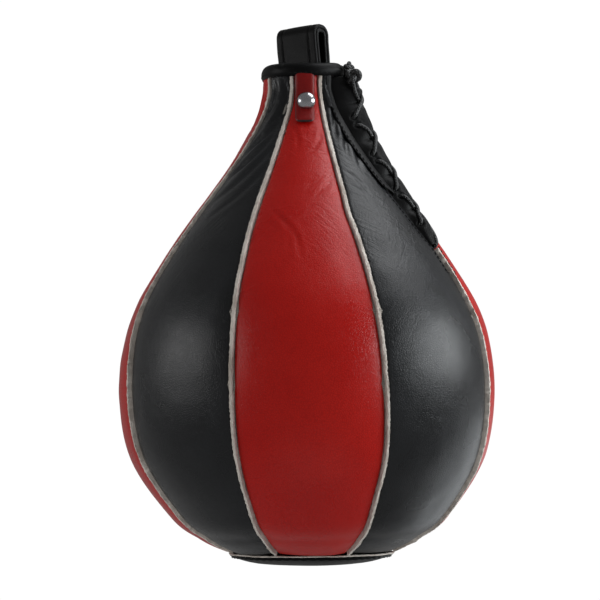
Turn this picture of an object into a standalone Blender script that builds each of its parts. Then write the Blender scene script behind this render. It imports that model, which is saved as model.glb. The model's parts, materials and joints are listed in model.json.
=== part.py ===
"""Leather speed ball: eight welted panels round an air bladder, laced up one side and hung from a riveted loop.

Metres, +Z up. The origin is the middle of the hanging loop's eye, on the small flat where a hook bears.
+X runs along the eye, the way a hook's pin goes through it. Heights in the design are taken from the lowest
point of the base, and height() turns them into Z. The loop is twisted a little against the panels, so the
front panel faces 36 degrees round from -Y.
"""

import math

import bmesh
import bpy
from mathutils import Matrix, Vector

# Sizes of the whole ball
EYE_HEIGHT = 0.282  # lowest point of the base to the eye's bearing flat
PANELS = 8
PANEL_TURN = math.tau / PANELS
FRONT = math.radians(36 - 90)  # direction that the front panel faces, from +X
TOUCH = 0.0003  # gap left between pieces that touch

# The ball's outer face as (height, radius). The belly is a smooth line through these points.
BELLY = [
    (0.0070, 0.0445),
    (0.0240, 0.0725),
    (0.0550, 0.0937),
    (0.0910, 0.1003),
    (0.1280, 0.0947),
    (0.1630, 0.0753),
    (0.2050, 0.0448),
    (0.2320, 0.0284),
    (0.2470, 0.0231),
]
NECK = [(0.2548, 0.0230), (0.2572, 0.0229), (0.2592, 0.0229)]  # under the binding
NECK_SKIN_TOP = NECK[0][0]

# Layers, as a thickness and the depth of the layer's middle below the outer face
LEATHER = 0.0016
LINING = 0.0007
LINING_DEPTH = 0.0028
FACING = 0.0014
FACING_DEPTH = 0.0031
TONGUE = 0.0010
TONGUE_DEPTH = 0.0061
BLADDER = 0.0009
BLADDER_DEPTH = 0.0070
WELT = 0.0022
WELT_PROUD = 0.0006
WELT_DEEP = 0.0019
SEAM_HALF = WELT / 2 + 0.00035  # a panel's edge to the middle of its seam

# The laced slit runs up the seam between panel 1 and panel 2
SLIT = FRONT + 1.5 * PANEL_TURN
SLIT_LOW = 0.1645
SLIT_HALF = 0.0110
SLIT_OPENS_OVER = 0.0580
SLIT_END_POWER = 0.30
FACING_EDGE = 0.0006  # a facing's free edge to the middle of the slit
FACING_FAR = 0.0145
FACING_TUCK = 0.0010
TONGUE_FAR = 0.0155
EDGE_STRIP = 0.0008
EDGE_STRIP_WIDTH = 0.0039
EDGE_STRIP_LOW = 0.1950

# The lace: a bar at the low end, then crosses joined by short runs under the facings
LACE_RADIUS = 0.00120
LACE_HOLE = 0.00190
LACE_UNDER = -0.0024  # middle of the lace to the middle of the facing, on either side of it
LACE_OVER = 0.0029
CROSSES = 4
CROSS_LOW = 0.0140  # slit's low end to the first cross, along the skin
CROSS_RISE = 0.0180
CROSS_PITCH = 0.0227
CROSS_LIFT = (0.0024, 0.0050)  # the lower and the upper strand of a cross, off the facings' edges
BAR_RISE = 0.0102

# The neck binding, folded over the top edge of the panels
BINDING = 0.0016
BINDING_LOW = 0.2556
BINDING_TOP = 0.2628
BINDING_OUTER = 0.0243
BINDING_INNER = 0.0177
BINDING_GAP = 0.0020

# The hanging loop: a strap of two layers of leather, folded over
STRAP_HALF = 0.0130
STRAP_LAYER = 0.0020
EYE_HALF = 0.0024
EYE_FLAT = 0.0010
EYE_CORNER = EYE_HALF - EYE_FLAT
HINGE_HEIGHT = 0.2624
LEG_LOW = HINGE_HEIGHT - 0.0010
TAIL = 0.0020
TAIL_TOP = 0.2562
TAIL_LOW = 0.2330
TAIL_HALF = 0.0065

# The rivets that hold the loop's tails to the front and rear panels
RIVET_HEIGHT = 0.2412
RIVET_HEAD = 0.0048
RIVET_DOME = 0.0026
RIVET_SHANK = 0.0016
RIVET_HOLE = 0.0020
RIVET_REACH = 0.0088  # outer face of the leather to the shank's inner end
PATCH = 0.0015
PATCH_HALF = 0.0053
PATCH_LOW = 0.2292
WASHER = 0.0015
WASHER_RADIUS = 0.0040

# The base
BASE_RADIUS = 0.0423
BASE_DOME = 0.0045
BASE_DISC = 0.0018
BASE_WELT_RADIUS = 0.0440
BASE_WELT_HEIGHT = 0.0053
BASE_LINING_HEIGHT = 0.0076

RED = (0.42, 0.018, 0.014)
BLACK = (0.012, 0.012, 0.013)
CREAM = (0.62, 0.56, 0.50)
CANVAS = (0.30, 0.28, 0.25)
LATEX = (0.45, 0.33, 0.20)
STEEL = (0.72, 0.72, 0.73)


def clear_scene():
    for found in list(bpy.data.objects):
        bpy.data.objects.remove(found, do_unlink=True)


def new_collection(name):
    made = bpy.data.collections.new(name)
    bpy.context.scene.collection.children.link(made)
    return made


def material(name, colour, roughness, metallic=0.0):
    made = bpy.data.materials.new(name)
    made.use_nodes = True
    shader = made.node_tree.nodes["Principled BSDF"]
    shader.inputs["Base Color"].default_value = (*colour, 1.0)
    shader.inputs["Roughness"].default_value = roughness
    shader.inputs["Metallic"].default_value = metallic
    return made


def height(above_base):
    return above_base - EYE_HEIGHT


def polar(radius, angle, above_base):
    return Vector((radius * math.cos(angle), radius * math.sin(angle), height(above_base)))


def bend_through(points, per_span):
    """Points on a smooth line through the given ones (Catmull-Rom)."""
    ends = [2 * points[0] - points[1], *points, 2 * points[-1] - points[-2]]
    line = []
    for a, b, c, d in zip(ends, ends[1:], ends[2:], ends[3:]):
        for step in range(per_span):
            t = step / per_span
            line.append(
                0.5 * (2 * b + (c - a) * t + (2 * a - 5 * b + 4 * c - d) * t**2 + (3 * b - a - 3 * c + d) * t**3)
            )
    return [*line, points[-1]]


def skin_rows():
    """[(height, radius, outward normal as radial and upward parts)] from the base edge to the top edge."""
    line = bend_through([Vector(p) for p in BELLY], 2) + [Vector(p) for p in NECK]
    rows = []
    for k, (up, radius) in enumerate(line):
        along = line[min(k + 1, len(line) - 1)] - line[max(k - 1, 0)]
        along.normalize()
        rows.append((up, radius, along[0], -along[1]))
    return rows


SKIN = skin_rows()


def skin_at(above_base):
    """(height, radius, normal's radial part, normal's upward part) of the outer face at this height."""
    for low, high in zip(SKIN, SKIN[1:]):
        if above_base <= high[0]:
            break
    t = (above_base - low[0]) / (high[0] - low[0])
    return tuple(a + (b - a) * t for a, b in zip(low, high))


def on_skin(above_base, centre, sideways, out=0.0):
    """A point beside the meridian at angle centre: sideways metres from it, and out metres off the outer face."""
    up, radius, normal_out, normal_up = skin_at(above_base)
    angle = centre + math.asin(max(-1.0, min(1.0, sideways / radius)))
    return polar(radius + out * normal_out, angle, up + out * normal_up)


def slit_half(above_base):
    """Half the slit's width at this height."""
    if above_base <= SLIT_LOW:
        return SEAM_HALF
    share = min(1.0, (above_base - SLIT_LOW) / SLIT_OPENS_OVER)
    return max(SEAM_HALF, SLIT_HALF * share**SLIT_END_POWER)


def finish(name, data, look, collection, parent):
    made = bpy.data.objects.new(name, data)
    made.data.materials.append(look)
    collection.objects.link(made)
    if parent:
        made.parent = parent
        made.matrix_parent_inverse = Matrix.Translation(parent.location).inverted()
    return made


def solidify(piece, thickness, offset=0.0):
    shell = piece.modifiers.new("thickness", "SOLIDIFY")
    shell.thickness = thickness
    shell.offset = offset
    shell.use_even_offset = True


def cut(piece, cutter):
    hole = piece.modifiers.new(cutter.name, "BOOLEAN")
    hole.operation = "DIFFERENCE"
    hole.object = cutter


def sheet_mesh(name, columns, rows, place):
    """A grid of columns by rows faces, whose corners place(column, row) puts in space."""
    grid = bmesh.new()
    bmesh.ops.create_grid(grid, x_segments=columns, y_segments=rows, size=0.5)
    for corner in grid.verts:
        column = round((corner.co.x + 0.5) * columns)
        row = round((corner.co.y + 0.5) * rows)
        corner.co = place(column, row)
    mesh = bpy.data.meshes.new(name)
    grid.to_mesh(mesh)
    grid.free()
    return mesh


def turned_mesh(name, outline):
    """A line of (radius, Z) points for a Screw modifier, the outer side running down."""
    line = bmesh.new()
    corners = [line.verts.new((radius, 0.0, up)) for radius, up in outline]
    for a, b in zip(corners, corners[1:]):
        line.edges.new((a, b))
    mesh = bpy.data.meshes.new(name)
    line.to_mesh(mesh)
    line.free()
    return mesh


def turn(piece, steps):
    screw = piece.modifiers.new("turning", "SCREW")
    screw.steps = steps
    screw.render_steps = steps
    screw.use_merge_vertices = True
    screw.merge_threshold = 0.00001


def cylinder(name, radius, length, sides, centre, direction, collection):
    """A cutter: a cylinder about centre, along direction."""
    solid = bmesh.new()
    bmesh.ops.create_cone(
        solid, cap_ends=True, segments=sides, radius1=radius, radius2=radius, depth=length
    )
    mesh = bpy.data.meshes.new(name)
    solid.to_mesh(mesh)
    solid.free()
    made = bpy.data.objects.new(name, mesh)
    made.location = centre
    made.rotation_mode = "QUATERNION"
    made.rotation_quaternion = direction.to_track_quat("Z", "Y")
    made.hide_render = True
    made.display_type = "WIRE"
    collection.objects.link(made)
    return made


def tube(name, points, radius, look, collection, parent, cyclic=False):
    """A round cord through the points, with closed ends."""
    curve = bpy.data.curves.new(name, "CURVE")
    curve.dimensions = "3D"
    curve.bevel_depth = radius
    curve.bevel_resolution = 1
    curve.use_fill_caps = not cyclic
    spline = curve.splines.new("POLY")
    spline.points.add(len(points) - 1)
    for point, co in zip(spline.points, points):
        point.co = (*co, 1.0)
    spline.use_cyclic_u = cyclic
    return finish(name, curve, look, collection, parent)


# Panels and their seams


def panel(name, index, look, collection, parent):
    """One leather panel. Panels 1 and 2 are cut back on the side that faces the slit."""
    centre = FRONT + index * PANEL_TURN
    ups = [row[0] for row in SKIN]
    if index in (1, 2):
        ups = sorted([*ups, *[SLIT_LOW + more for more in (-0.0007, 0.0012, 0.0045, 0.0110, 0.0260)]])
    columns = 4

    def place(column, row):
        up, radius, normal_out, normal_up = skin_at(ups[row])
        low_side = slit_half(ups[row]) if index == 2 else SEAM_HALF
        high_side = slit_half(ups[row]) if index == 1 else SEAM_HALF
        start = centre - PANEL_TURN / 2 + math.asin(low_side / radius)
        end = centre + PANEL_TURN / 2 - math.asin(high_side / radius)
        inward = -LEATHER / 2
        angle = start + (end - start) * column / columns
        return polar(radius + inward * normal_out, angle, up + inward * normal_up)

    made = finish(name, sheet_mesh(name, columns, len(ups) - 1, place), look, collection, parent)
    solidify(made, LEATHER)
    return made


def welt(name, index, look, collection, parent):
    """The flat strip sewn edge-on between two panels. Above the slit's low end its seam is laced instead."""
    centre = FRONT + (index + 0.5) * PANEL_TURN
    top = SLIT_LOW - 0.0016 if index == 1 else NECK_SKIN_TOP
    ups = [row[0] for row in SKIN if row[0] < top - 0.002] + [top]
    ups[0] += 0.0009

    def place(column, row):
        return on_skin(ups[row], centre, 0.0, WELT_PROUD - column * (WELT_PROUD + WELT_DEEP))

    made = finish(name, sheet_mesh(name, 1, len(ups) - 1, place), look, collection, parent)
    solidify(made, WELT)
    return made


# The inside: lining, bladder, valve


def body_lining(look, collection, parent):
    """One skin round the whole inside, open along the slit and sewn shut below it."""
    ups = [row[0] for row in SKIN[:-1:2]]
    columns = 16

    def place(column, row):
        up, radius, normal_out, normal_up = skin_at(ups[row])
        inner = radius - LINING_DEPTH * normal_out
        margin = FACING_FAR + 0.0010 if up > SLIT_LOW - 0.012 else 0.0004
        start = SLIT + math.asin(min(0.95, margin / inner))
        angle = start + (math.tau + 2 * (SLIT - start)) * column / columns
        return polar(inner, angle, up - LINING_DEPTH * normal_up)

    made = finish("body_lining", sheet_mesh("body_lining", columns, len(ups) - 1, place), look, collection, parent)
    solidify(made, LINING)
    return made


def bladder(look, collection, parent):
    """The latex bladder: the ball's own shape a little smaller, with a hole at the top for the valve."""
    line = []
    for up, radius, normal_out, normal_up in SKIN[2:15:2]:
        line.append((radius - BLADDER_DEPTH * normal_out, up - BLADDER_DEPTH * normal_up))
    foot = [(0.0, 0.0100), (0.0300, 0.0104), (0.0470, 0.0145)]
    dome = [(0.0200, 0.2290), (0.0125, 0.2345), (0.0044, 0.2365)]
    outline = [*foot, *[p for p in line if 0.019 < p[1] < 0.225], *dome]
    mesh = turned_mesh("bladder", [(radius, height(up)) for radius, up in reversed(outline)])
    made = finish("bladder", mesh, look, collection, parent)
    turn(made, 16)
    solidify(made, BLADDER, offset=-1.0)
    return made


def bladder_valve(look, collection, parent):
    """A rubber valve with a needle channel, flanged onto the bladder's top."""
    outline = [
        (0.0, 0.2385),
        (0.0009, 0.2385),
        (0.0009, 0.2450),
        (0.0026, 0.2450),
        (0.0032, 0.2442),
        (0.0032, 0.2386),
        (0.0066, 0.2381),
        (0.0066, 0.2374),
        (0.0040, 0.2371),
        (0.0040, 0.2338),
        (0.0, 0.2338),
    ]
    mesh = turned_mesh("bladder_valve", [(radius, height(up)) for radius, up in outline])
    made = finish("bladder_valve", mesh, look, collection, parent)
    turn(made, 16)
    return made


# The laced slit


def facing_stops(above_base):
    """Across a facing, from its free edge outwards: (sideways, out) of its middle. It dives under the panel."""
    opening = slit_half(above_base)
    share = min(1.0, max(0.0, above_base - SLIT_LOW) / SLIT_OPENS_OVER)
    rise = -0.0006 + 0.0022 * min(1.0, 2.2 * share)
    tuck = max(0.0030, opening - FACING_TUCK)
    middle = (FACING_EDGE + tuck) / 2
    return [
        (FACING_EDGE, rise),
        (middle, (rise - FACING_DEPTH) / 2 + 0.0002),
        (tuck, -FACING_DEPTH),
        (FACING_FAR, -FACING_DEPTH),
    ]


def facing(name, side, look, collection, parent):
    """A strip with the lace holes along it, sewn under the panel's edge and rising to the slit's middle."""
    rows_on_skin = [row[0] for row in SKIN if SLIT_LOW + 0.003 < row[0] < NECK_SKIN_TOP - 0.003]
    between = [(a + b) / 2 for a, b in zip([SLIT_LOW, *rows_on_skin], rows_on_skin)]
    ups = sorted([SLIT_LOW + 0.0012, SLIT_LOW + 0.0050, *rows_on_skin, *between, NECK_SKIN_TOP - 0.0006])

    def place(column, row):
        stops = facing_stops(ups[row])
        sideways, out = stops[column if side > 0 else 3 - column]
        return on_skin(ups[row], SLIT, side * sideways, out)

    made = finish(name, sheet_mesh(name, 3, len(ups) - 1, place), look, collection, parent)
    solidify(made, FACING)
    return made


def edge_strip(name, side, look, collection, parent):
    """A narrow strip of leather sewn along the slit's edge, on top of the panel."""
    top = NECK_SKIN_TOP - 0.0005
    ups = [EDGE_STRIP_LOW, 0.2020, *[row[0] for row in SKIN if 0.206 < row[0] < top], top]
    lift = EDGE_STRIP / 2 + TOUCH + 0.00015

    def place(column, row):
        stop = slit_half(ups[row]) + 0.0002 + EDGE_STRIP_WIDTH * (column if side > 0 else 2 - column) / 2
        return on_skin(ups[row], SLIT, side * stop, lift)

    made = finish(name, sheet_mesh(name, 2, len(ups) - 1, place), look, collection, parent)
    solidify(made, EDGE_STRIP)
    return made


def tongue(look, collection, parent):
    """The leather flap behind the slit, between the facings and the bladder."""
    ups = [SLIT_LOW - 0.0050, *[row[0] for row in SKIN if SLIT_LOW < row[0] < NECK_SKIN_TOP - 0.001]]
    columns = 4

    def place(column, row):
        sideways = TONGUE_FAR * (2 * column / columns - 1)
        return on_skin(ups[row], SLIT, sideways, -TONGUE_DEPTH)

    made = finish("lace_tongue", sheet_mesh("lace_tongue", columns, len(ups) - 1, place), look, collection, parent)
    solidify(made, TONGUE)
    return made


def up_the_slit(distance):
    """The height reached this far along the skin from the slit's low end."""
    step = 0.0002
    up, gone = SLIT_LOW, 0.0
    while gone < distance:
        drop = skin_at(up)[1] - skin_at(up + step)[1]
        gone += math.hypot(drop, step)
        up += step
    return up


def lace_point(side, distance, level, sideways=None):
    """A point of the lace: level metres off the facing's middle, at the line of holes unless sideways is given."""
    up = up_the_slit(distance)
    stops = facing_stops(up)
    hole, out = stops[1]
    return on_skin(up, SLIT, side * (hole if sideways is None else sideways), out + level)


def hole_places():
    """[(side, distance along the slit)] of every lace hole."""
    marks = []
    for k in range(CROSSES):
        low = CROSS_LOW + k * CROSS_PITCH
        marks += [low, low + CROSS_RISE]
    return [(side, mark) for mark in marks for side in (-1, 1)]


def strand(first_side, lifted):
    """One half of the lace, from under its first hole up to the knot. lifted says which crosses it tops."""
    side = first_side
    points = [lace_point(side, BAR_RISE, LACE_UNDER)]
    for k in range(CROSSES):
        low = CROSS_LOW + k * CROSS_PITCH
        high = low + CROSS_RISE
        middle = up_the_slit((low + high) / 2)
        lift = CROSS_LIFT[(k % 2 == 0) == lifted]
        points.append(lace_point(side, low, LACE_UNDER))
        points.append(lace_point(side, low, LACE_OVER))
        points.append(on_skin(middle, SLIT, 0.0, facing_stops(middle)[0][1] + lift))
        side = -side
        points.append(lace_point(side, high, LACE_OVER))
        points.append(lace_point(side, high, LACE_UNDER))
    return points


def soften(points, most):
    """The same line with each corner cut off, up to most metres from it."""
    line = [points[0]]
    for before, corner, after in zip(points, points[1:], points[2:]):
        for other in (before, after):
            reach = min(most, 0.45 * (other - corner).length)
            line.append(corner + (other - corner).normalized() * reach)
    return [*line, points[-1]]


def lace(look, collection, parent):
    """One lace: its middle lies under the facings' low ends, and its halves cross up the slit to the knot."""
    points = [*reversed(strand(-1, True)), *strand(1, False)]
    return tube("lace", soften(points, 0.0011), LACE_RADIUS, look, collection, parent)


def lace_knot(look, collection, parent):
    """The knot that joins the lace's two ends at the neck."""
    solid = bmesh.new()
    bmesh.ops.create_uvsphere(solid, u_segments=12, v_segments=8, radius=1.0)
    mesh = bpy.data.meshes.new("lace_knot")
    bmesh.ops.scale(solid, vec=(0.0030, 0.0044, 0.0040), verts=solid.verts)
    solid.to_mesh(mesh)
    solid.free()
    made = finish("lace_knot", mesh, look, collection, parent)
    made.location = polar(0.0288, SLIT, 0.2600)
    made.rotation_euler = (0.0, 0.0, SLIT)
    return made


# The neck and the hanging loop


def neck_binding(look, collection, parent):
    """A strip folded over the top edge of the panels, its two ends meeting at the slit."""
    turn_over = 4
    half = (BINDING_OUTER - BINDING_INNER) / 2
    middle = (BINDING_OUTER + BINDING_INNER) / 2
    crown = BINDING_TOP - BINDING / 2 - half
    section = [(BINDING_OUTER, BINDING_LOW)]
    for k in range(turn_over + 1):
        angle = math.pi * k / turn_over
        section.append((middle + half * math.cos(angle), crown + half * math.sin(angle)))
    section.append((BINDING_INNER, BINDING_LOW + 0.0008))
    columns = 24

    def place(column, row):
        radius, up = section[row]
        start = SLIT + math.asin(BINDING_GAP / radius)
        angle = start + (math.tau + 2 * (SLIT - start)) * column / columns
        return polar(radius, angle, up)

    mesh = sheet_mesh("neck_binding", columns, len(section) - 1, place)
    made = finish("neck_binding", mesh, look, collection, parent)
    solidify(made, BINDING)
    return made


def neck_cap(look, collection, cutters, parent):
    """The disc that closes the neck, with a slot for the strap."""
    disc = 0.0014
    top = HINGE_HEIGHT - 0.0022
    rim = BINDING_INNER - BINDING / 2 - 0.0005
    outline = [(0.0, top), (rim, top), (rim, top - disc), (0.0, top - disc)]
    mesh = turned_mesh("neck_cap", [(radius, height(up)) for radius, up in outline])
    made = finish("neck_cap", mesh, look, collection, parent)
    turn(made, 28)
    solid = bmesh.new()
    bmesh.ops.create_cube(solid, size=2.0)
    bmesh.ops.scale(solid, vec=(0.0134, 0.0073, 0.0100), verts=solid.verts)
    slot_mesh = bpy.data.meshes.new("strap_slot")
    solid.to_mesh(slot_mesh)
    solid.free()
    slot = bpy.data.objects.new("strap_slot", slot_mesh)
    slot.location = (0.0, 0.0, height(top))
    slot.hide_render = True
    slot.display_type = "WIRE"
    cutters.objects.link(slot)
    cut(made, slot)
    return made


def strap_line(off_eye):
    """(Y, Z) along the strap, off_eye metres outside the eye's inner face: up the front leg, over and down."""
    arc = 4
    leg = EYE_HALF + off_eye
    line = [(-leg, height(LEG_LOW))]
    for side, first, last in ((-1, 180, 90), (1, 90, 0)):
        for k in range(arc + 1):
            angle = math.radians(first + (last - first) * k / arc)
            radius = EYE_CORNER + off_eye
            line.append((side * EYE_FLAT + radius * math.cos(angle), -EYE_CORNER + radius * math.sin(angle)))
    return [*line, (leg, height(LEG_LOW))]


def strap(name, off_eye, look, collection, parent):
    line = strap_line(off_eye)

    def place(column, row):
        y, z = line[row]
        return Vector((STRAP_HALF * (2 * column - 1), y, z))

    made = finish(name, sheet_mesh(name, 1, len(line) - 1, place), look, collection, parent)
    solidify(made, STRAP_LAYER)
    return made


def tail(name, facing_way, look, collection, parent):
    """A strap end inside the neck: it leaves the hinge flat and twists round to lie against the riveted panel."""
    rows = 8
    columns = 3
    toward = -1 if math.sin(facing_way) < 0 else 1
    depth = LINING_DEPTH + LINING / 2 + 0.0005 + TAIL / 2

    def place(column, row):
        across = 2 * column / columns - 1
        along = row / rows
        up = TAIL_TOP + (TAIL_LOW - TAIL_TOP) * along
        reach = min(1.0, along / 0.42)
        share = reach * reach * (3 - 2 * reach)
        flat = Vector((-toward * across * (STRAP_HALF - 0.0007), toward * 0.0050, height(up)))
        against = on_skin(up, facing_way, across * TAIL_HALF, -depth)
        return flat.lerp(against, share)

    made = finish(name, sheet_mesh(name, columns, rows, place), look, collection, parent)
    solidify(made, TAIL)
    return made


# The rivets and their patches


def patch(name, facing_way, look, collection, parent):
    """The leather rectangle that spreads the rivet's pull over the panel."""
    ups = [PATCH_LOW, 0.2350, 0.2390, RIVET_HEIGHT, 0.2470, 0.2520, NECK_SKIN_TOP - 0.0004]
    columns = 3

    def place(column, row):
        sideways = PATCH_HALF * (2 * column / columns - 1)
        return on_skin(ups[row], facing_way, sideways, TOUCH + PATCH / 2 + 0.0001)

    made = finish(name, sheet_mesh(name, columns, len(ups) - 1, place), look, collection, parent)
    solidify(made, PATCH)
    return made


def out_of_neck(facing_way):
    """The direction straight out of the leather at the rivet."""
    low = on_skin(RIVET_HEIGHT - 0.0050, facing_way, 0.0)
    high = on_skin(RIVET_HEIGHT + 0.0050, facing_way, 0.0)
    sideways = Vector((-math.sin(facing_way), math.cos(facing_way), 0.0))
    return sideways.cross(high - low).normalized()


def stand_on_neck(piece, facing_way):
    """Turns a piece's +Z to point straight out of the neck, with its origin on the leather's outer face."""
    piece.location = on_skin(RIVET_HEIGHT, facing_way, 0.0)
    piece.rotation_mode = "QUATERNION"
    piece.rotation_quaternion = out_of_neck(facing_way).to_track_quat("Z", "Y")


def rivet(name, facing_way, look, collection, parent):
    """A domed head on a shank that goes through patch, panel, lining and tail."""
    seat = TOUCH + PATCH + 0.0005 + TOUCH
    rim = 0.0004
    dome = 5
    outline = []
    for k in range(dome + 1):
        angle = math.pi / 2 * k / dome
        outline.append((RIVET_HEAD * math.sin(angle), seat + rim + (RIVET_DOME - rim) * math.cos(angle)))
    outline += [(RIVET_HEAD, seat), (RIVET_SHANK, seat), (RIVET_SHANK, -RIVET_REACH), (0.0, -RIVET_REACH)]
    outline[0] = (0.0, outline[0][1])
    made = finish(name, turned_mesh(name, outline), look, collection, parent)
    turn(made, 16)
    stand_on_neck(made, facing_way)
    return made


def washer(name, facing_way, look, collection, parent):
    """The ring that the shank is set against inside the neck."""
    outer_face = -(RIVET_REACH - 0.0003 - WASHER)
    outline = [
        (RIVET_HOLE, outer_face),
        (WASHER_RADIUS, outer_face),
        (WASHER_RADIUS, outer_face - WASHER),
        (RIVET_HOLE, outer_face - WASHER),
        (RIVET_HOLE, outer_face),
    ]
    made = finish(name, turned_mesh(name, outline), look, collection, parent)
    turn(made, 16)
    stand_on_neck(made, facing_way)
    return made


# The base


def base_disc(look, collection, parent):
    """The round leather base, nearly flat in the middle and turned up at the rim."""
    rings = 6
    outline = []
    for k in range(rings + 1):
        share = 1 - k / rings
        outline.append((BASE_RADIUS * share, height(BASE_DOME * share**3)))
    made = finish("base_disc", turned_mesh("base_disc", outline), look, collection, parent)
    turn(made, 28)
    solidify(made, BASE_DISC, offset=-1.0)
    return made


def base_welt(look, collection, parent):
    sides = 32
    points = [polar(BASE_WELT_RADIUS, math.tau * k / sides, BASE_WELT_HEIGHT) for k in range(sides)]
    return tube("base_welt", points, WELT / 2, look, collection, parent, cyclic=True)


def base_lining(look, collection, parent):
    rim = 0.0405
    top = BASE_LINING_HEIGHT + LINING
    outline = [(0.0, top), (rim, top), (rim, BASE_LINING_HEIGHT), (0.0, BASE_LINING_HEIGHT)]
    mesh = turned_mesh("base_lining", [(radius, height(up)) for radius, up in outline])
    made = finish("base_lining", mesh, look, collection, parent)
    turn(made, 24)
    return made


def shade_round_pieces(collection):
    for piece in collection.objects:
        if piece.type == "MESH":
            piece.data.shade_smooth()
            piece.data.set_sharp_from_angle(angle=math.radians(35))


def main():
    clear_scene()
    ball = new_collection("speed_ball")
    cutters = new_collection("cutters")
    red = material("red_leather", RED, 0.42)
    black = material("black_leather", BLACK, 0.40)
    cream = material("welt_leather", CREAM, 0.75)
    canvas = material("lining_canvas", CANVAS, 0.85)
    latex = material("bladder_latex", LATEX, 0.45)
    steel = material("nickel_steel", STEEL, 0.22, metallic=1.0)
    lace_look = material("lace_cord", BLACK, 0.60)

    hanger = bpy.data.objects.new("hang_loop", None)
    ball.objects.link(hanger)
    bag = bpy.data.objects.new("bag", None)
    bag.location = (0.0, 0.0, height(HINGE_HEIGHT))
    ball.objects.link(bag)

    strap("loop_inner_strap", STRAP_LAYER / 2, black, ball, hanger)
    strap("loop_outer_strap", STRAP_LAYER * 1.5 + TOUCH, black, ball, hanger)

    sides = ["front", "front_right", "right", "rear_right", "rear", "rear_left", "left", "front_left"]
    panels = []
    for index, side in enumerate(sides):
        colour, look = ("red", red) if index % 2 == 0 else ("black", black)
        panels.append(panel(f"panel_{side}_{colour}", index, look, ball, bag))
        welt(f"welt_{index + 1}", index, cream, ball, bag)

    lining = body_lining(canvas, ball, bag)
    bladder(latex, ball, bag)
    bladder_valve(lace_look, ball, bag)

    facings = [facing("lace_facing_front", -1, black, ball, bag), facing("lace_facing_rear", 1, black, ball, bag)]
    for number, (side, distance) in enumerate(hole_places()):
        below = lace_point(side, distance, -0.001)
        above = lace_point(side, distance, 0.001)
        centre = (above + below) / 2
        hole = cylinder(f"lace_hole_{number}", LACE_HOLE, 0.006, 8, centre, above - below, cutters)
        cut(facings[0 if side < 0 else 1], hole)
    edge_strip("slit_edge_front", -1, black, ball, bag)
    edge_strip("slit_edge_rear", 1, black, ball, bag)
    tongue(black, ball, bag)
    lace(lace_look, ball, bag)
    lace_knot(lace_look, ball, bag)

    neck_binding(black, ball, bag)
    neck_cap(black, ball, cutters, bag)

    for end, facing_way, leather_panel in (("front", FRONT, panels[0]), ("rear", FRONT + math.pi, panels[4])):
        pieces = [
            tail(f"loop_tail_{end}", facing_way, black, ball, bag),
            patch(f"rivet_patch_{end}", facing_way, red, ball, bag),
        ]
        rivet(f"rivet_{end}", facing_way, steel, ball, bag)
        washer(f"rivet_washer_{end}", facing_way, steel, ball, bag)
        outward = out_of_neck(facing_way)
        middle = on_skin(RIVET_HEIGHT, facing_way, 0.0) - outward * 0.003
        hole = cylinder(f"rivet_hole_{end}", RIVET_HOLE, 0.016, 12, middle, outward, cutters)
        for piece in [*pieces, leather_panel, lining]:
            cut(piece, hole)

    base_disc(black, ball, bag)
    base_welt(cream, ball, bag)
    base_lining(canvas, ball, bag)
    shade_round_pieces(ball)


main()
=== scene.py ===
"""A leather speed ball hung by its loop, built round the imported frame.

Heights in the design are metres above the ball's lowest point, and place() turns them into the frame's
coordinates. Angles go round from +X, and grow towards the right for someone who looks at the ball.
"""

import itertools
import json
import math
import random

import bmesh
import bpy
import numpy as np
from mathutils import Euler, Matrix, Vector


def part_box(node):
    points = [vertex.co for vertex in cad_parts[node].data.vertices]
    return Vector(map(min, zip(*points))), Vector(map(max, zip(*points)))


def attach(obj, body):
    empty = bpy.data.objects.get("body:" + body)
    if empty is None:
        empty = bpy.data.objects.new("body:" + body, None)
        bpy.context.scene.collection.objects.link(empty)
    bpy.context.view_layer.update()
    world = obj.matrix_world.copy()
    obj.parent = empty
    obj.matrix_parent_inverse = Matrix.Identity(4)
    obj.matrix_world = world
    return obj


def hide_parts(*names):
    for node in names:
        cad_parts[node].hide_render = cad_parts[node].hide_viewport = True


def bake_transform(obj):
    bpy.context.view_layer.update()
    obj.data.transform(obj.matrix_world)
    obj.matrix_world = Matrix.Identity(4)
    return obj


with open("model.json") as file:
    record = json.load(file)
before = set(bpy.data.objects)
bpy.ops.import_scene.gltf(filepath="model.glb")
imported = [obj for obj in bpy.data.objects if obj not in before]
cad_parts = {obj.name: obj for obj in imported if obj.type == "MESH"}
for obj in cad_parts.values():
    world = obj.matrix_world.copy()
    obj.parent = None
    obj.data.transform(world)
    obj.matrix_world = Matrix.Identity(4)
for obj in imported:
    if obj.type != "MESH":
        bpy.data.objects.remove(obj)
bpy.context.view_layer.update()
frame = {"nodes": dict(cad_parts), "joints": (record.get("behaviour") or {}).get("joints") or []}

STRAP_LAYER = 0.0020  # thickness of one layer of the strap

# Places taken from the frame
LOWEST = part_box("base_disc")[0].z
JOINT = frame["joints"][0]
HINGE = JOINT["pos_m"][2]
HINGE_HEIGHT = HINGE - LOWEST
STRAP_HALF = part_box("loop_outer_strap")[1].x
EYE_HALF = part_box("loop_inner_strap")[1].y - STRAP_LAYER

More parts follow.
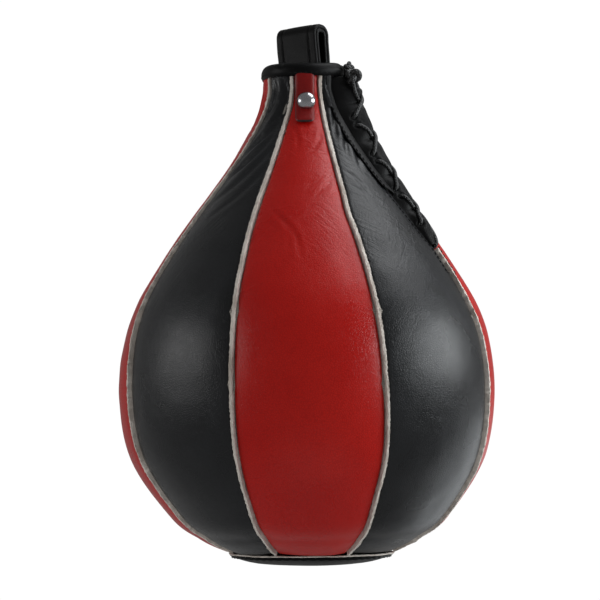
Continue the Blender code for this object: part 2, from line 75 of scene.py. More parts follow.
# Design sizes, close to the solids'
PANELS = 8
PANEL_TURN = math.tau / PANELS
CAMERA_TURN = math.radians(36)
FRONT = CAMERA_TURN - math.pi / 2
BELLY = [
    (0.0058, 0.0422),
    (0.0095, 0.0506),
    (0.0136, 0.0576),
    (0.0240, 0.0716),
    (0.0550, 0.0932),
    (0.0910, 0.0996),
    (0.1280, 0.0936),
    (0.1630, 0.0745),
    (0.2050, 0.0445),
    (0.2320, 0.0283),
    (0.2470, 0.0228),
    (0.2548, 0.0224),
    (0.2592, 0.0222),
]
PANEL_TOP = 0.2588  # under the binding
SLIT = FRONT + 1.5 * PANEL_TURN
SLIT_SEAM = 1  # the slit is in the seam after this panel
SLIT_LOW = 0.1645
SLIT_HALF = 0.0110
SLIT_OPENS_OVER = 0.0580
SLIT_END_POWER = 0.30
BINDING_LOW = 0.2556
BINDING_TOP = 0.2628
BINDING_OUTER = 0.0240
BINDING_INNER = 0.0171
RIVET_HEIGHT = 0.2412
PATCH_LOW = 0.2292
BASE_RADIUS = 0.0416
BASE_RIM = 0.0054

# Detail that only the visual model has
SEAM_EDGE = (0.00062, 0.00088)  # a panel's edge to the middle of its seam, low on the ball and at the neck
ROLL = 0.0019  # the leather turns down into a seam over this much
BASE_ROLL = 0.0005
PANEL_LEATHER = 0.0013
ROW_STEP = 0.0010
SLUMP = 0.0034  # how much fuller one side is near the base
SLUMP_TOP = 0.075
SLIT_SEAM_STRAIGHT = 0.148  # the slit's seam follows its meridian from this height up
# How far each seam wanders from its meridian, as (height, degrees) stops
SEAM_DRIFT = [
    [
        *[(0.005, 4.5), (0.030, 2.3), (0.060, 1.7), (0.100, 0.3), (0.160, -1.2)],
        *[(0.180, -2.2), (0.200, -1.2), (PANEL_TOP, -0.3)],
    ],
    [
        *[(0.005, 8.0), (0.034, 7.5), (0.060, 5.2), (0.090, 3.2), (0.120, 2.4)],
        *[(SLIT_SEAM_STRAIGHT, 0.0), (0.200, 0.0), (PANEL_TOP, 0.0)],
    ],
    [(0.005, -1.0), (0.060, 0.6), (0.120, -0.8), (0.190, 1.2), (PANEL_TOP, -2.0)],
    [(0.005, 1.2), (0.070, -0.5), (0.140, 0.9), (0.200, -1.2), (PANEL_TOP, 1.5)],
    [(0.005, -0.8), (0.060, 0.8), (0.150, -0.7), (0.210, 1.6), (PANEL_TOP, -1.5)],
    [(0.005, 0.6), (0.080, -0.6), (0.160, 1.0), (0.220, -1.0), (PANEL_TOP, 2.0)],
    [
        *[(0.005, 0.0), (0.090, 0.0), (0.130, -2.5), (0.165, -3.6), (0.200, -1.6)],
        *[(0.222, 4.5), (0.240, 8.0), (PANEL_TOP, 7.0)],
    ],
    [
        *[(0.005, 0.0), (0.060, 0.5), (0.110, 0.4), (0.150, -0.8), (0.175, -1.9)],
        *[(0.205, -1.9), (0.228, 0.5), (0.243, 4.2), (PANEL_TOP, 3.8)],
    ],
]


# Numbers that vary smoothly from place to place

# Factors that scatter a cell's whole-number place, so that neighbouring cells get unlike values
CELL_FACTORS = np.array([374761393, 668265263, 2246822519])
SEED_FACTOR = 974711
MIX_FACTOR = 1274126177


def lattice_noise(points, scale, seed=0):
    """Smooth noise between -1 and 1 at an array of points.

    scale is the number of cells to the metre, as one number or one for each axis.
    """
    spots = np.asarray(points, float) * np.asarray(scale, float)
    cell = np.floor(spots).astype(np.int64)
    part = spots - cell
    part = part * part * (3 - 2 * part)
    total = np.zeros(spots.shape[:-1])
    for step in itertools.product((0, 1), repeat=3):
        mixed = ((cell + np.array(step)) * CELL_FACTORS).sum(axis=-1) + seed * SEED_FACTOR
        mixed = (mixed ^ (mixed >> 13)) * MIX_FACTOR & 0xFFFFFFFF
        mixed = mixed ^ (mixed >> 16)
        share = np.where(np.array(step), part, 1 - part).prod(axis=-1)
        total += ((mixed & 0xFFFF) / 32767.5 - 1) * share
    return total


def layered_noise(points, scale, layers, seed=0):
    total = 0.0
    for layer in range(layers):
        total = total + lattice_noise(points, np.asarray(scale) * 2**layer, seed + layer) / 2**layer
    return total


def ramp(value, low, high):
    """0 below low, 1 above high, and an S curve between them."""
    share = np.clip((np.asarray(value, float) - low) / (high - low), 0, 1)
    return share * share * (3 - 2 * share)


# The ball's outer face


def smooth_line(points, per_span):
    """A smooth curve through the points."""
    points = [np.array(p, float) for p in points]
    ends = [2 * points[0] - points[1], *points, 2 * points[-1] - points[-2]]
    line = []
    for a, b, c, d in zip(ends, ends[1:], ends[2:], ends[3:]):
        for step in range(per_span):
            t = step / per_span
            straight = 2 * b + (c - a) * t
            bent = straight + (2 * a - 5 * b + 4 * c - d) * t**2 + (3 * b - a - 3 * c + d) * t**3
            line.append(0.5 * bent)
    return np.array([*line, points[-1]])


SKIN = smooth_line(BELLY, 24)
SKIN_ALONG = np.concatenate([[0], np.cumsum(np.hypot(*np.diff(SKIN, axis=0).T))])
SKIN_WAY = np.gradient(SKIN, SKIN_ALONG, axis=0)


def height_at(along):
    """The height reached this far along the skin from the base edge."""
    return np.interp(along, SKIN_ALONG, SKIN[:, 0])


def along_at(height):
    return np.interp(height, SKIN[:, 0], SKIN_ALONG)


def radius_at(height):
    return np.interp(height, SKIN[:, 0], SKIN[:, 1])


def fuller(height, angle):
    """What the slump adds to the radius."""
    return SLUMP * (1 - ramp(height, 0.0, SLUMP_TOP)) * (1 + np.cos(angle - CAMERA_TURN)) / 2


def seam_angle(index, height):
    """The angle of the seam after panel index, which wanders a little on its way up."""
    line = smooth_line(SEAM_DRIFT[index], 8)
    if index == SLIT_SEAM:
        line[line[:, 0] > SLIT_SEAM_STRAIGHT, 1] = 0.0
    centre = FRONT + (index + 0.5) * PANEL_TURN
    return centre + np.radians(np.interp(height, line[:, 0], line[:, 1]))


def place(height, angle, out=0.0):
    """Points on the ball at these heights and angles, out metres off the outer face."""
    height, angle, out = np.broadcast_arrays(height, angle, out)
    radius = radius_at(height) + fuller(height, angle)
    rise = np.interp(height, SKIN[:, 0], SKIN_WAY[:, 0])
    spread = np.interp(height, SKIN[:, 0], SKIN_WAY[:, 1])
    reach = radius + out * rise
    return np.stack([reach * np.cos(angle), reach * np.sin(angle), height - out * spread + LOWEST], axis=-1)


def beside(height, centre, sideways, out=0.0):
    """Points sideways metres from the meridian at angle centre."""
    return place(height, centre + np.arcsin(np.clip(sideways / radius_at(height), -1, 1)), out)


def ring_place(radius, angle, height):
    radius, angle, height = np.broadcast_arrays(radius, angle, height)
    return np.stack([radius * np.cos(angle), radius * np.sin(angle), height + LOWEST], axis=-1)


def seam_edge(height):
    return SEAM_EDGE[0] + (SEAM_EDGE[1] - SEAM_EDGE[0]) * ramp(height, 0.03, 0.20)


def slit_half(height):
    share = np.clip((np.asarray(height, float) - SLIT_LOW) / SLIT_OPENS_OVER, 0, 1)
    return np.maximum(seam_edge(height), SLIT_HALF * share**SLIT_END_POWER)


# Making meshes


def add_object(name, data):
    made = bpy.data.objects.new(name, data)
    bpy.context.scene.collection.objects.link(made)
    return made


def mesh_object(name, points, faces):
    mesh = bpy.data.meshes.new(name)
    mesh.from_pydata([tuple(p) for p in points], [], faces)
    tidy = bmesh.new()
    tidy.from_mesh(mesh)
    bmesh.ops.recalc_face_normals(tidy, faces=tidy.faces)
    tidy.to_mesh(mesh)
    tidy.free()
    return add_object(name, mesh)


def grid_faces(rows, columns, wrap=False):
    faces = []
    across = columns if wrap else columns - 1
    for row in range(rows - 1):
        low, high = row * columns, (row + 1) * columns
        for column in range(across):
            after = (column + 1) % columns
            faces.append((low + column, low + after, high + after, high + column))
    return faces


def thicken(made, thickness, offset=-1.0):
    shell = made.modifiers.new("thickness", "SOLIDIFY")
    shell.thickness = thickness
    shell.offset = offset
    return made


def sheet(name, grid, thickness, offset=-1.0):
    """A sheet through a grid of points (rows, columns, 3), thickened. Its normals point out of the ball."""
    rows, columns = grid.shape[:2]
    mesh = bpy.data.meshes.new(name)
    mesh.from_pydata([tuple(p) for p in grid.reshape(-1, 3)], [], grid_faces(rows, columns))
    return thicken(add_object(name, mesh), thickness, offset)


def sweep(name, rings, cyclic=False):
    """A closed skin over a row of rings, shape (rings, points, 3)."""
    count, around = rings.shape[:2]
    faces = grid_faces(count, around, wrap=True)
    if cyclic:
        last = (count - 1) * around
        faces += [(last + k, last + (k + 1) % around, (k + 1) % around, k) for k in range(around)]
    else:
        faces += [tuple(range(around)), tuple((count - 1) * around + k for k in range(around))]
    return mesh_object(name, rings.reshape(-1, 3), faces)


def capped(name, top, rings, bottom=None):
    """A skin over a row of rings, drawn to a point at the top and perhaps at the bottom."""
    count, around = rings.shape[:2]
    points = [top, *rings.reshape(-1, 3)]
    faces = [(0, 1 + k, 1 + (k + 1) % around) for k in range(around)]
    faces += [tuple(1 + corner for corner in face) for face in grid_faces(count, around, wrap=True)]
    if bottom is not None:
        last = 1 + (count - 1) * around
        points.append(bottom)
        faces += [(len(points) - 1, last + (k + 1) % around, last + k) for k in range(around)]
    return mesh_object(name, points, faces)


def run_lengths(line):
    """How far along the line each of its points is."""
    return np.concatenate([[0], np.cumsum(np.linalg.norm(np.diff(line, axis=0), axis=1))])


def tube(name, line, radius, around=12, cyclic=False, squeeze=1.0):
    """A cord along a line of points, with a UV map that runs along it in metres. squeeze flattens it."""
    line = np.asarray(line, float)
    count = len(line)
    ahead = np.roll(line, -1, axis=0) if cyclic else np.concatenate([line[1:], line[-1:]])
    behind = np.roll(line, 1, axis=0) if cyclic else np.concatenate([line[:1], line[:-1]])
    way = ahead - behind
    way /= np.linalg.norm(way, axis=1)[:, None]
    side = np.cross(way[0], (0.31, 0.17, 0.93))
    sides = []
    for along in way:
        side = side - along * np.dot(side, along)
        side /= np.linalg.norm(side)
        sides.append(side)
    sides = np.array(sides)
    ups = np.cross(way, sides)
    turn = np.arange(around) * math.tau / around
    reach = np.broadcast_to(radius, (count,))[:, None, None]
    rings = (
        line[:, None]
        + reach * np.cos(turn)[None, :, None] * sides[:, None]
        + reach * squeeze * np.sin(turn)[None, :, None] * ups[:, None]
    )
    made = sweep(name, rings, cyclic)
    gone = run_lengths(line)
    put_uv(made, lambda index: (index % around / around, gone[index // around]))
    return made


def put_uv(made, uv_of):
    """The UV map of a tube. Faces that cross its join are kept in one piece."""
    layer = made.data.uv_layers.new(name="run")
    for face in made.data.polygons:
        places = [uv_of(made.data.loops[k].vertex_index) for k in face.loop_indices]
        wide = max(p[0] for p in places) - min(p[0] for p in places) > 0.5
        for k, (u, v) in zip(face.loop_indices, places):
            layer.data[k].uv = (u + 1.0 if wide and u < 0.5 else u, v)


def even_line(line, step):
    """The same line with points every step metres."""
    line = np.asarray(line, float)
    gone = run_lengths(line)
    marks = np.linspace(0, gone[-1], max(2, int(round(gone[-1] / step)) + 1))
    return np.stack([np.interp(marks, gone, line[:, k]) for k in range(3)], axis=1)


def stitches(name, seats, normals, length, thickness):
    """One mesh of short threads, each half sunk along its seat's run, with its ends deep in the leather."""
    points, faces = [], []
    around, bends = 8, 7
    skin = grid_faces(bends, around, wrap=True)
    skin += [tuple(range(around)), tuple(range((bends - 1) * around, bends * around))]
    for k in range(len(seats) - 1):
        run = seats[k + 1] - seats[k]
        run = run / np.linalg.norm(run)
        up = normals[k] - run * np.dot(normals[k], run)
        up = up / np.linalg.norm(up)
        side = np.cross(run, up)
        middle = (seats[k] + seats[k + 1]) / 2
        start = len(points)
        for bend in range(bends):
            share = 2 * bend / (bends - 1) - 1
            centre = middle + run * share * length / 2 + up * thickness * (0.45 - 1.3 * share**4)
            size = thickness / 2 * (1 - 0.35 * share**4)
            for turn in range(around):
                angle = turn * math.tau / around
                points.append(centre + side * math.cos(angle) * size + up * math.sin(angle) * size)
        faces += [tuple(start + corner for corner in face) for face in skin]
    return mesh_object(name, points, faces)


def lay_out(mesh, run):
    """A UV map in metres: across the piece and along it."""
    layer = mesh.uv_layers.new(name="skin")
    corners = np.empty(len(mesh.loops), int)
    mesh.loops.foreach_get("vertex_index", corners)
    layer.data.foreach_set("uv", run.reshape(-1, 2)[corners].ravel())


def dress(made, look, replaced=(), sharp=50):
    made.data.materials.clear()
    made.data.materials.append(look)
    for face in made.data.polygons:
        face.use_smooth = True
    made.data.set_sharp_from_angle(angle=math.radians(sharp))
    if replaced:
        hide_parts(*replaced)
    return made


# Materials


class Nodes:
    """Short ways to build a material's node tree."""

    def __init__(self, name):
        self.material = bpy.data.materials.new(name)
        self.material.use_nodes = True
        self.tree = self.material.node_tree
        self.shader = self.tree.nodes["Principled BSDF"]

    def set(self, **values):
        for key, value in values.items():
            self.shader.inputs[key.replace("_", " ")].default_value = value

    def feed(self, socket, value):
        if isinstance(value, bpy.types.NodeSocket):
            self.tree.links.new(value, socket)
        else:
            socket.default_value = value

    def add(self, kind, **inputs):
        """A node of this kind, with inputs fed by name."""
        node = self.tree.nodes.new("ShaderNode" + kind)
        for key, value in inputs.items():
            self.feed(node.inputs[key.replace("_", " ")], value)
        return node

    def where(self):
        return self.add("TexCoord").outputs["Object"]

    def run_map(self, name):
        node = self.add("UVMap")
        node.uv_map = name
        return node.outputs[0]

    def parts(self, vector):
        return self.add("SeparateXYZ", Vector=vector).outputs

    def scaled(self, vector, scale, turn=(0, 0, 0)):
        return self.add("Mapping", Vector=vector, Scale=scale, Rotation=turn).outputs[0]

    def noise(self, vector, scale, detail=2.0, rough=0.5):
        node = self.add("TexNoise", Vector=vector, Scale=scale, Detail=detail, Roughness=rough)
        return node.outputs["Fac"]

    def cells(self, vector, scale):
        """The distance to the edge of the nearest cell."""
        node = self.add("TexVoronoi", Vector=vector, Scale=scale)
        node.feature = "DISTANCE_TO_EDGE"
        return node.outputs["Distance"]

    def span(self, value, low, high, to_low=0.0, to_high=1.0):
        node = self.add("MapRange", Value=value, From_Min=low, From_Max=high, To_Min=to_low, To_Max=to_high)
        node.interpolation_type = "SMOOTHSTEP"
        return node.outputs["Result"]

    def math(self, operation, a, b=0.0):
        node = self.add("Math")
        node.operation = operation
        self.feed(node.inputs[0], a)
        self.feed(node.inputs[1], b)
        return node.outputs[0]

    def times(self, a, b):
        return self.math("MULTIPLY", a, b)

    def plus(self, a, b):
        return self.math("ADD", a, b)

    def minus(self, a, b):
        return self.math("SUBTRACT", a, b)

    def mix(self, share, a, b):
        node = self.add("Mix")
        node.data_type = "RGBA"
        self.feed(node.inputs["Factor"], share)
        for key, colour in (("A", a), ("B", b)):
            socket = [s for s in node.inputs if s.name == key and s.type == "RGBA"][0]
            self.feed(socket, colour if isinstance(colour, bpy.types.NodeSocket) else (*colour, 1.0))
        return [s for s in node.outputs if s.type == "RGBA"][0]

    def push(self, vector, amount, scale):
        """The vector moved about by noise."""
        noise = self.add("TexNoise", Vector=vector, Scale=scale)
        moved = self.add("VectorMath")
        moved.operation = "MULTIPLY_ADD"
        for socket, value in zip(moved.inputs, (noise.outputs["Color"], (amount,) * 3, vector)):
            self.feed(socket, value)
        return moved.outputs[0]

    def bump(self, height, distance, strength):
        return self.add("Bump", Height=height, Distance=distance, Strength=strength).outputs[0]

    def done(self, colour=None, roughness=None, normal=None):
        for key, source in (("Base Color", colour), ("Roughness", roughness), ("Normal", normal)):
            if source is not None:
                self.feed(self.shader.inputs[key], source)
        return self.material


def leather(name, base, deep, pale, gloss, shine, wrinkles=0.0):
    """Finished cowhide: fine pebbled grain, a mottled dye, and where wanted a stretched hide's wrinkles, with
    painted shade in their creases and a painted highlight on their ridges.
    """
    n = Nodes(name)
    where = n.where()
    bent = n.push(where, 0.0011, 300.0)
    pebble = n.span(n.cells(bent, 900.0), 0.0, 0.20)
    fine = n.noise(where, 3600.0)
    patchy = n.noise(where, 24.0, 3.0)
    height = n.plus(n.times(pebble, 0.40), n.times(fine, 0.30))
    colour = n.mix(n.times(n.span(patchy, 0.35, 0.68), 0.7), base, pale)
    colour = n.mix(n.times(n.minus(1.0, pebble), 0.30), colour, deep)
    rough = n.span(patchy, 0.3, 0.7, gloss - 0.04, gloss + 0.05)
    if wrinkles:
        lines = hide_wrinkles(n)
        height = n.plus(height, n.times(lines, wrinkles))
        # Painted highlight: the wrinkles' ridges are coloured paler
        colour = n.mix(n.times(n.span(lines, 0.25, 0.9), 0.10), colour, pale)
        # Painted shade: the wrinkles' creases are coloured darker
        colour = n.mix(n.times(n.span(lines, -0.15, -0.8, 0.0, 1.0), 0.22), colour, deep)
    n.set(Specular_IOR_Level=shine)
    return n.done(colour, rough, n.bump(height, 0.00016, 0.6))


# Wrinkles: turn, long axis scale, noise scale, where along the panel they start and are full, strength
WRINKLE_SETS = (
    (0.10, 0.20, 360.0, 0.190, 0.260, 0.45),
    (-0.95, 0.16, 330.0, 0.120, 0.200, 0.60),
    (0.75, 0.16, 340.0, 0.140, 0.215, 0.50),
)


def hide_wrinkles(n):
    """Ridges and lines between -1 and 1 in the panel's own UV map: across it near the neck, slanted below."""
    skin = n.run_map("skin")
    flow = n.push(skin, 0.010, 28.0)
    along = n.parts(skin)[1]
    total = None
    for turn, stretch, scale, start, full, strength in WRINKLE_SETS:
        turned = n.scaled(flow, (1, 1, 1), (0, 0, turn))
        streaks = n.noise(n.scaled(turned, (stretch, 1, 1)), scale, 2.0, 0.45)
        centred = n.minus(streaks, 0.5)
        ridged = n.minus(1.0, n.times(n.math("ABSOLUTE", centred), 9.0))
        lines = n.times(n.math("MAXIMUM", ridged, 0.0), -1.0)
        # Patches where the wrinkles show, with their relief, their painted shade and their painted highlight
        wrinkled_patches = n.span(n.noise(n.scaled(flow, (1.0, 0.7, 1.0), (0, 0, turn)), 34.0), 0.44, 0.62)
        shown = n.times(n.times(wrinkled_patches, n.span(along, start, full)), strength)
        part = n.times(n.plus(n.times(lines, 0.55), n.times(centred, 1.6)), shown)
        total = part if total is None else n.plus(total, part)
    return total


def raw_edge(name, base, dirt):
    """The cut edge and flesh side of undyed leather: fuzzy and fibrous."""
    n = Nodes(name)
    where = n.where()
    fuzz = n.noise(where, 1500.0, 5.0, 0.75)
    tufts = n.noise(where, 420.0, 3.0)
    stain = n.noise(where, 60.0, 3.0)
    colour = n.mix(n.span(stain, 0.4, 0.75), base, dirt)
    colour = n.mix(n.times(n.span(tufts, 0.52, 0.75), 0.5), colour, dirt)
    height = n.plus(n.times(fuzz, 0.6), n.times(tufts, 0.8))
    n.set(Roughness=0.9, Sheen_Weight=0.25, Sheen_Roughness=0.6, Specular_IOR_Level=0.25)
    return n.done(colour, None, n.bump(height, 0.0005, 0.9))


def thread(name, base, pale):
    n = Nodes(name)
    strands = n.noise(n.scaled(n.where(), (1.0, 1.0, 0.35), (0.6, 0.3, 0.0)), 1800.0, 3.0, 0.6)
    n.set(Roughness=0.75, Specular_IOR_Level=0.2)
    return n.done(n.mix(n.span(strands, 0.4, 0.7), base, pale), None, n.bump(strands, 0.0002, 0.8))


def braid(name, base, pale):
    """Waxed braided cord, from the UV map that runs along it."""
    n = Nodes(name)
    parts = n.parts(n.run_map("run"))
    round_it = n.times(parts[0], 4.0)
    down_it = n.times(parts[1], 620.0)
    right = n.math("PINGPONG", n.plus(round_it, down_it), 0.5)
    left = n.math("PINGPONG", n.minus(round_it, down_it), 0.5)
    plait = n.times(n.span(right, 0.0, 0.35), n.span(left, 0.0, 0.35))
    cord_blotches = n.noise(n.where(), 900.0, 3.0)
    # Paler on the plait's raised crests, in blotches; the same blotches also vary the roughness
    colour = n.mix(n.times(plait, n.span(cord_blotches, 0.35, 0.75)), base, pale)
    n.set(Coat_Weight=0.2, Coat_Roughness=0.35)
    return n.done(colour, n.span(cord_blotches, 0.3, 0.7, 0.38, 0.6), n.bump(plait, 0.00035, 0.9))


def plated(name, base, scratch):
    """Polished nickel plate, with the fine scratches and dull specks of a set rivet."""
    n = Nodes(name)
    where = n.where()
    lines = n.noise(n.scaled(where, (1.0, 8.0, 8.0), (0.4, 0.9, 0.2)), 700.0, 3.0)
    specks = n.noise(where, 1400.0)
    colour = n.mix(n.span(lines, 0.45, 0.7), base, scratch)
    rough = n.plus(n.span(lines, 0.4, 0.7, 0.16, 0.30), n.span(specks, 0.62, 0.72, 0.0, 0.15))
    n.set(Metallic=1.0)
    return n.done(colour, rough, n.bump(n.noise(where, 160.0), 0.0003, 0.5))


def woven(name, base, pale):
    n = Nodes(name)
    x, y, z = n.parts(n.where())
    round_it = n.math("PINGPONG", n.times(n.plus(x, y), 900.0), 0.5)
    up_it = n.math("PINGPONG", n.times(z, 900.0), 0.5)
    weave = n.times(n.span(round_it, 0.0, 0.4), n.span(up_it, 0.0, 0.4))
    n.set(Roughness=0.9)
    return n.done(n.mix(weave, base, pale), None, n.bump(weave, 0.0003, 0.8))


def rubbery(name, base, pale, roughness):
    n = Nodes(name)
    where = n.where()
    bloom = n.noise(where, 70.0, 4.0)
    colour = n.mix(n.span(bloom, 0.4, 0.7), base, pale)
    rough = n.span(bloom, 0.3, 0.7, roughness - 0.08, roughness + 0.1)
    n.set(Specular_IOR_Level=0.4)
    return n.done(colour, rough, n.bump(n.noise(where, 900.0, 3.0), 0.0001, 0.5))


def grey(level):
    return (level, level, level)


# Each leather's dye, and the darker and paler shades that it is mottled with. In wrinkled leather the darker
# shade is also painted shade in the creases, and the paler one a painted highlight on the ridges
RED_LEATHER = leather(
    "red_leather",
    (0.430, 0.0058, 0.0030),
    (0.190, 0.002, 0.002),
    (0.490, 0.0100, 0.0052),
    gloss=0.30,
    shine=0.25,
    wrinkles=2.2,
)
PATCH_LEATHER = leather(
    "patch_leather",
    (0.200, 0.0030, 0.0025),
    (0.080, 0.001, 0.001),
    (0.240, 0.0050, 0.0040),
    gloss=0.42,
    shine=0.25,
)
BLACK_LEATHER = leather(
    "black_leather",
    (0.0110, 0.0115, 0.0125),
    grey(0.004),
    (0.016, 0.017, 0.019),
    gloss=0.29,
    shine=0.28,
    wrinkles=2.2,
)
STRAP_LEATHER = leather(
    "strap_leather", (0.0030, 0.0030, 0.0032), grey(0.0015), grey(0.006), gloss=0.38, shine=0.09
)
FACING_LEATHER = leather(
    "facing_leather", (0.0046, 0.0046, 0.0048), grey(0.002), (0.009, 0.009, 0.0095), gloss=0.42, shine=0.13
)
TONGUE_LEATHER = leather(
    "tongue_leather", (0.0030, 0.0030, 0.0031), grey(0.001), grey(0.004), gloss=0.60, shine=0.15
)
CREAM = raw_edge("welt_raw_edge", (0.66, 0.60, 0.54), (0.40, 0.34, 0.29))
EDGE_PAINT = rubbery("edge_paint", grey(0.010), grey(0.020), 0.42)
BLACK_THREAD = thread("black_thread", grey(0.004), (0.016, 0.016, 0.017))
LACE_CORD = braid("lace_cord", grey(0.005), (0.020, 0.021, 0.023))
NICKEL = plated("nickel_plate", (0.46, 0.46, 0.48), (0.34, 0.34, 0.36))
CANVAS = woven("lining_canvas", (0.20, 0.18, 0.16), (0.36, 0.34, 0.30))
LATEX = rubbery("bladder_latex", (0.42, 0.31, 0.18), (0.50, 0.38, 0.24), 0.45)
VALVE_RUBBER = rubbery("valve_rubber", grey(0.015), grey(0.030), 0.5)


# Panels

SIDES = ["front", "front_right", "right", "rear_right", "rear", "rear_left", "left", "front_left"]

NEAR_EDGE = np.array([0.0, 0.00012, 0.00032, 0.0006, 0.0010, 0.0015, 0.0021, 0.0029, 0.0040])
SWELL = 0.0015
STITCH_PITCH = 0.0046

# Folds in the leather: height and place across the panel (-1 left, 1 right) of each end, half width and depth
FOLDS = {
    "front": [
        (0.2290, -0.75, 0.2150, -0.25, 0.0012, 0.00025),
        (0.2260, 0.80, 0.2120, 0.15, 0.0012, 0.00025),
        (0.2000, 0.85, 0.1880, 0.25, 0.0014, 0.00022),
        (0.1830, -0.74, 0.1580, -0.22, 0.0012, 0.00020),
        (0.1790, -0.60, 0.1510, -0.04, 0.0012, 0.00022),
        (0.1760, -0.40, 0.1600, -0.10, 0.0011, 0.00016),
    ],
    "front_right": [
        (0.2570, -0.62, 0.2230, -0.60, 0.0014, 0.00080),
        (0.2570, -0.10, 0.2120, -0.28, 0.0016, 0.00095),
        (0.2300, 0.20, 0.2050, 0.10, 0.0016, 0.00050),
        (0.2040, -0.85, 0.1900, -0.20, 0.0012, 0.00025),
        (0.1960, -0.80, 0.1830, -0.30, 0.0012, 0.00022),
    ],
    "front_left": [
        (0.2540, 0.55, 0.2290, 0.15, 0.0015, 0.00090),
        (0.2440, 0.85, 0.2150, -0.45, 0.0020, 0.00105),
        (0.2330, 0.90, 0.2010, -0.60, 0.0022, 0.00085),
        (0.2200, 0.92, 0.1880, -0.50, 0.0022, 0.00060),
        (0.2060, 0.90, 0.1790, -0.20, 0.0020, 0.00035),
        (0.2560, -0.45, 0.2330, -0.70, 0.0013, 0.00070),
    ],
}


def folds_for(side):
    """The named folds, or ones of the same sort where nothing is known of the panel."""
    if side in FOLDS:
        return FOLDS[side]
    chance = random.Random(side)
    found = []
    for _ in range(6):
        start = chance.uniform(0.215, 0.257)
        left = chance.uniform(-0.85, 0.85)
        lean_over = chance.uniform(-0.9, 0.9)
        end = start - chance.uniform(0.018, 0.032)
        right = max(-0.9, min(0.9, left + lean_over))
        found.append((start, left, end, right, 0.0017, chance.uniform(0.0003, 0.0009)))
    return found


def fold_depth(height, across, width, side):
    """How far the folds push the leather in, at points of a panel given by height and place across it."""
    total = np.zeros(height.shape)
    sideways = across * width
    marks = along_at(height[:, 0])
    for top, left, low, right, half, depth in folds_for(side):
        start = np.array([along_at(top), left * np.interp(along_at(top), marks, width[:, 0])])
        end = np.array([along_at(low), right * np.interp(along_at(low), marks, width[:, 0])])
        run = end - start
        spot = np.stack([along_at(height), sideways], axis=-1) - start
        share = (spot @ run) / (run @ run)
        bow = 0.12 * np.linalg.norm(run) * np.sin(math.pi * np.clip(share, 0, 1))
        off = (spot[..., 0] * run[1] - spot[..., 1] * run[0]) / np.linalg.norm(run) - bow
        ends = ramp(share, -0.10, 0.22) * (1 - ramp(share, 0.70, 1.15))
        valley = np.exp(-((off / half) ** 2))
        shoulder = np.exp(-(((np.abs(off) - 2.1 * half) / (1.2 * half)) ** 2))
        total += depth * ends * (valley - 0.45 * shoulder)
    return total


def panel_relief(index, side, sideways, total, heights, from_base, flat):
    """How far a panel's face stands out from the plain ball at each point, and its flat pattern."""
    edge = np.minimum(sideways, total - sideways)
    across = 2 * sideways / total - 1
    half = np.broadcast_to(total / 2, sideways.shape)

    turned = np.clip(ROLL - edge, 0, ROLL)
    out = -(ROLL - np.sqrt(np.maximum(0, ROLL**2 - turned**2)))
    tucked = np.clip(BASE_ROLL - from_base, 0, BASE_ROLL)
    out = out - (BASE_ROLL - np.sqrt(np.maximum(0, BASE_ROLL**2 - tucked**2)))
    swell = SWELL * np.clip(half / 0.038, 0, 1.1)
    out = out + swell * (1 - across**2) ** 0.8 - 1.1 * swell
    out = out - 0.0007 * np.exp(-edge / 0.0045)

    # Puckers at each stitch of the hidden seam
    phase = from_base / STITCH_PITCH + 0.35 * lattice_noise(flat, 45.0, 3 + index)
    pucker = np.sin(math.tau * phase) * np.exp(-edge / 0.0030) * ramp(edge, 0.0003, 0.0016)
    out = out + 0.00011 * pucker * (0.6 + 0.4 * lattice_noise(flat, 30.0, 20 + index))

    # Slow and quick unevenness of the hide
    out = out + 0.00045 * layered_noise(flat, 22.0, 2, 40 + index) * ramp(edge, 0.0, 0.010)
    out = out + 0.00012 * lattice_noise(flat, 120.0, 60 + index) * ramp(edge, 0.0, 0.006)

    # Fine creases across the panel where the leather is drawn in to the neck
    stretched = np.stack([sideways * 0.30 + 5.0 * index, from_base, np.zeros_like(from_base)], axis=-1)
    fine = 1 - np.abs(layered_noise(stretched, 420.0, 2, 80 + index))
    drawn = ramp(heights, 0.165, 0.205) * (1 - ramp(heights, 0.236, 0.250))
    crease = 0.00016 * ramp(fine, 0.72, 1.0) * drawn * ramp(edge, 0.0006, 0.004)
    out = out - crease * (0.5 + 0.5 * lattice_noise(flat, 55.0, 90))
    out = out - fold_depth(heights, across, half, side) * ramp(edge, 0.0, 0.0022)
    return out, np.stack([across * half, from_base], axis=-1)


def panel_grid(index, side):
    """The outer face of one panel, as (rows, columns, 3) points, and its flat pattern in metres."""
    reach = along_at(PANEL_TOP)
    marks = np.linspace(0, reach, int(reach / ROW_STEP))
    height = height_at(marks)
    radius = radius_at(height)
    low_edge = slit_half(height) if index == SLIT_SEAM + 1 else seam_edge(height)
    high_edge = slit_half(height) if index == SLIT_SEAM else seam_edge(height)
    before = seam_angle((index - 1) % PANELS, height) - (math.tau if index == 0 else 0.0)
    start = before + np.arcsin(low_edge / radius)
    end = seam_angle(index, height) - np.arcsin(high_edge / radius)
    total = (end - start) * radius

    # Columns crowd together beside the seams, where the leather rolls down
    columns = [np.minimum(step, total * 0.48 * step / NEAR_EDGE[-1] + step * 0.5) for step in NEAR_EDGE]
    for share in np.linspace(0, 1, 38)[1:-1]:
        columns.append(NEAR_EDGE[-1] + share * (total - 2 * NEAR_EDGE[-1]))
    columns += [total - step for step in NEAR_EDGE[::-1]]
    sideways = np.stack(columns, axis=1)
    angle = start[:, None] + sideways / radius[:, None]
    heights = np.broadcast_to(height[:, None], angle.shape)
    from_base = np.broadcast_to(marks[:, None], angle.shape)
    flat = place(heights, angle)
    out, run = panel_relief(index, side, sideways, total[:, None], heights, from_base, flat)
    return place(heights, angle, out), run


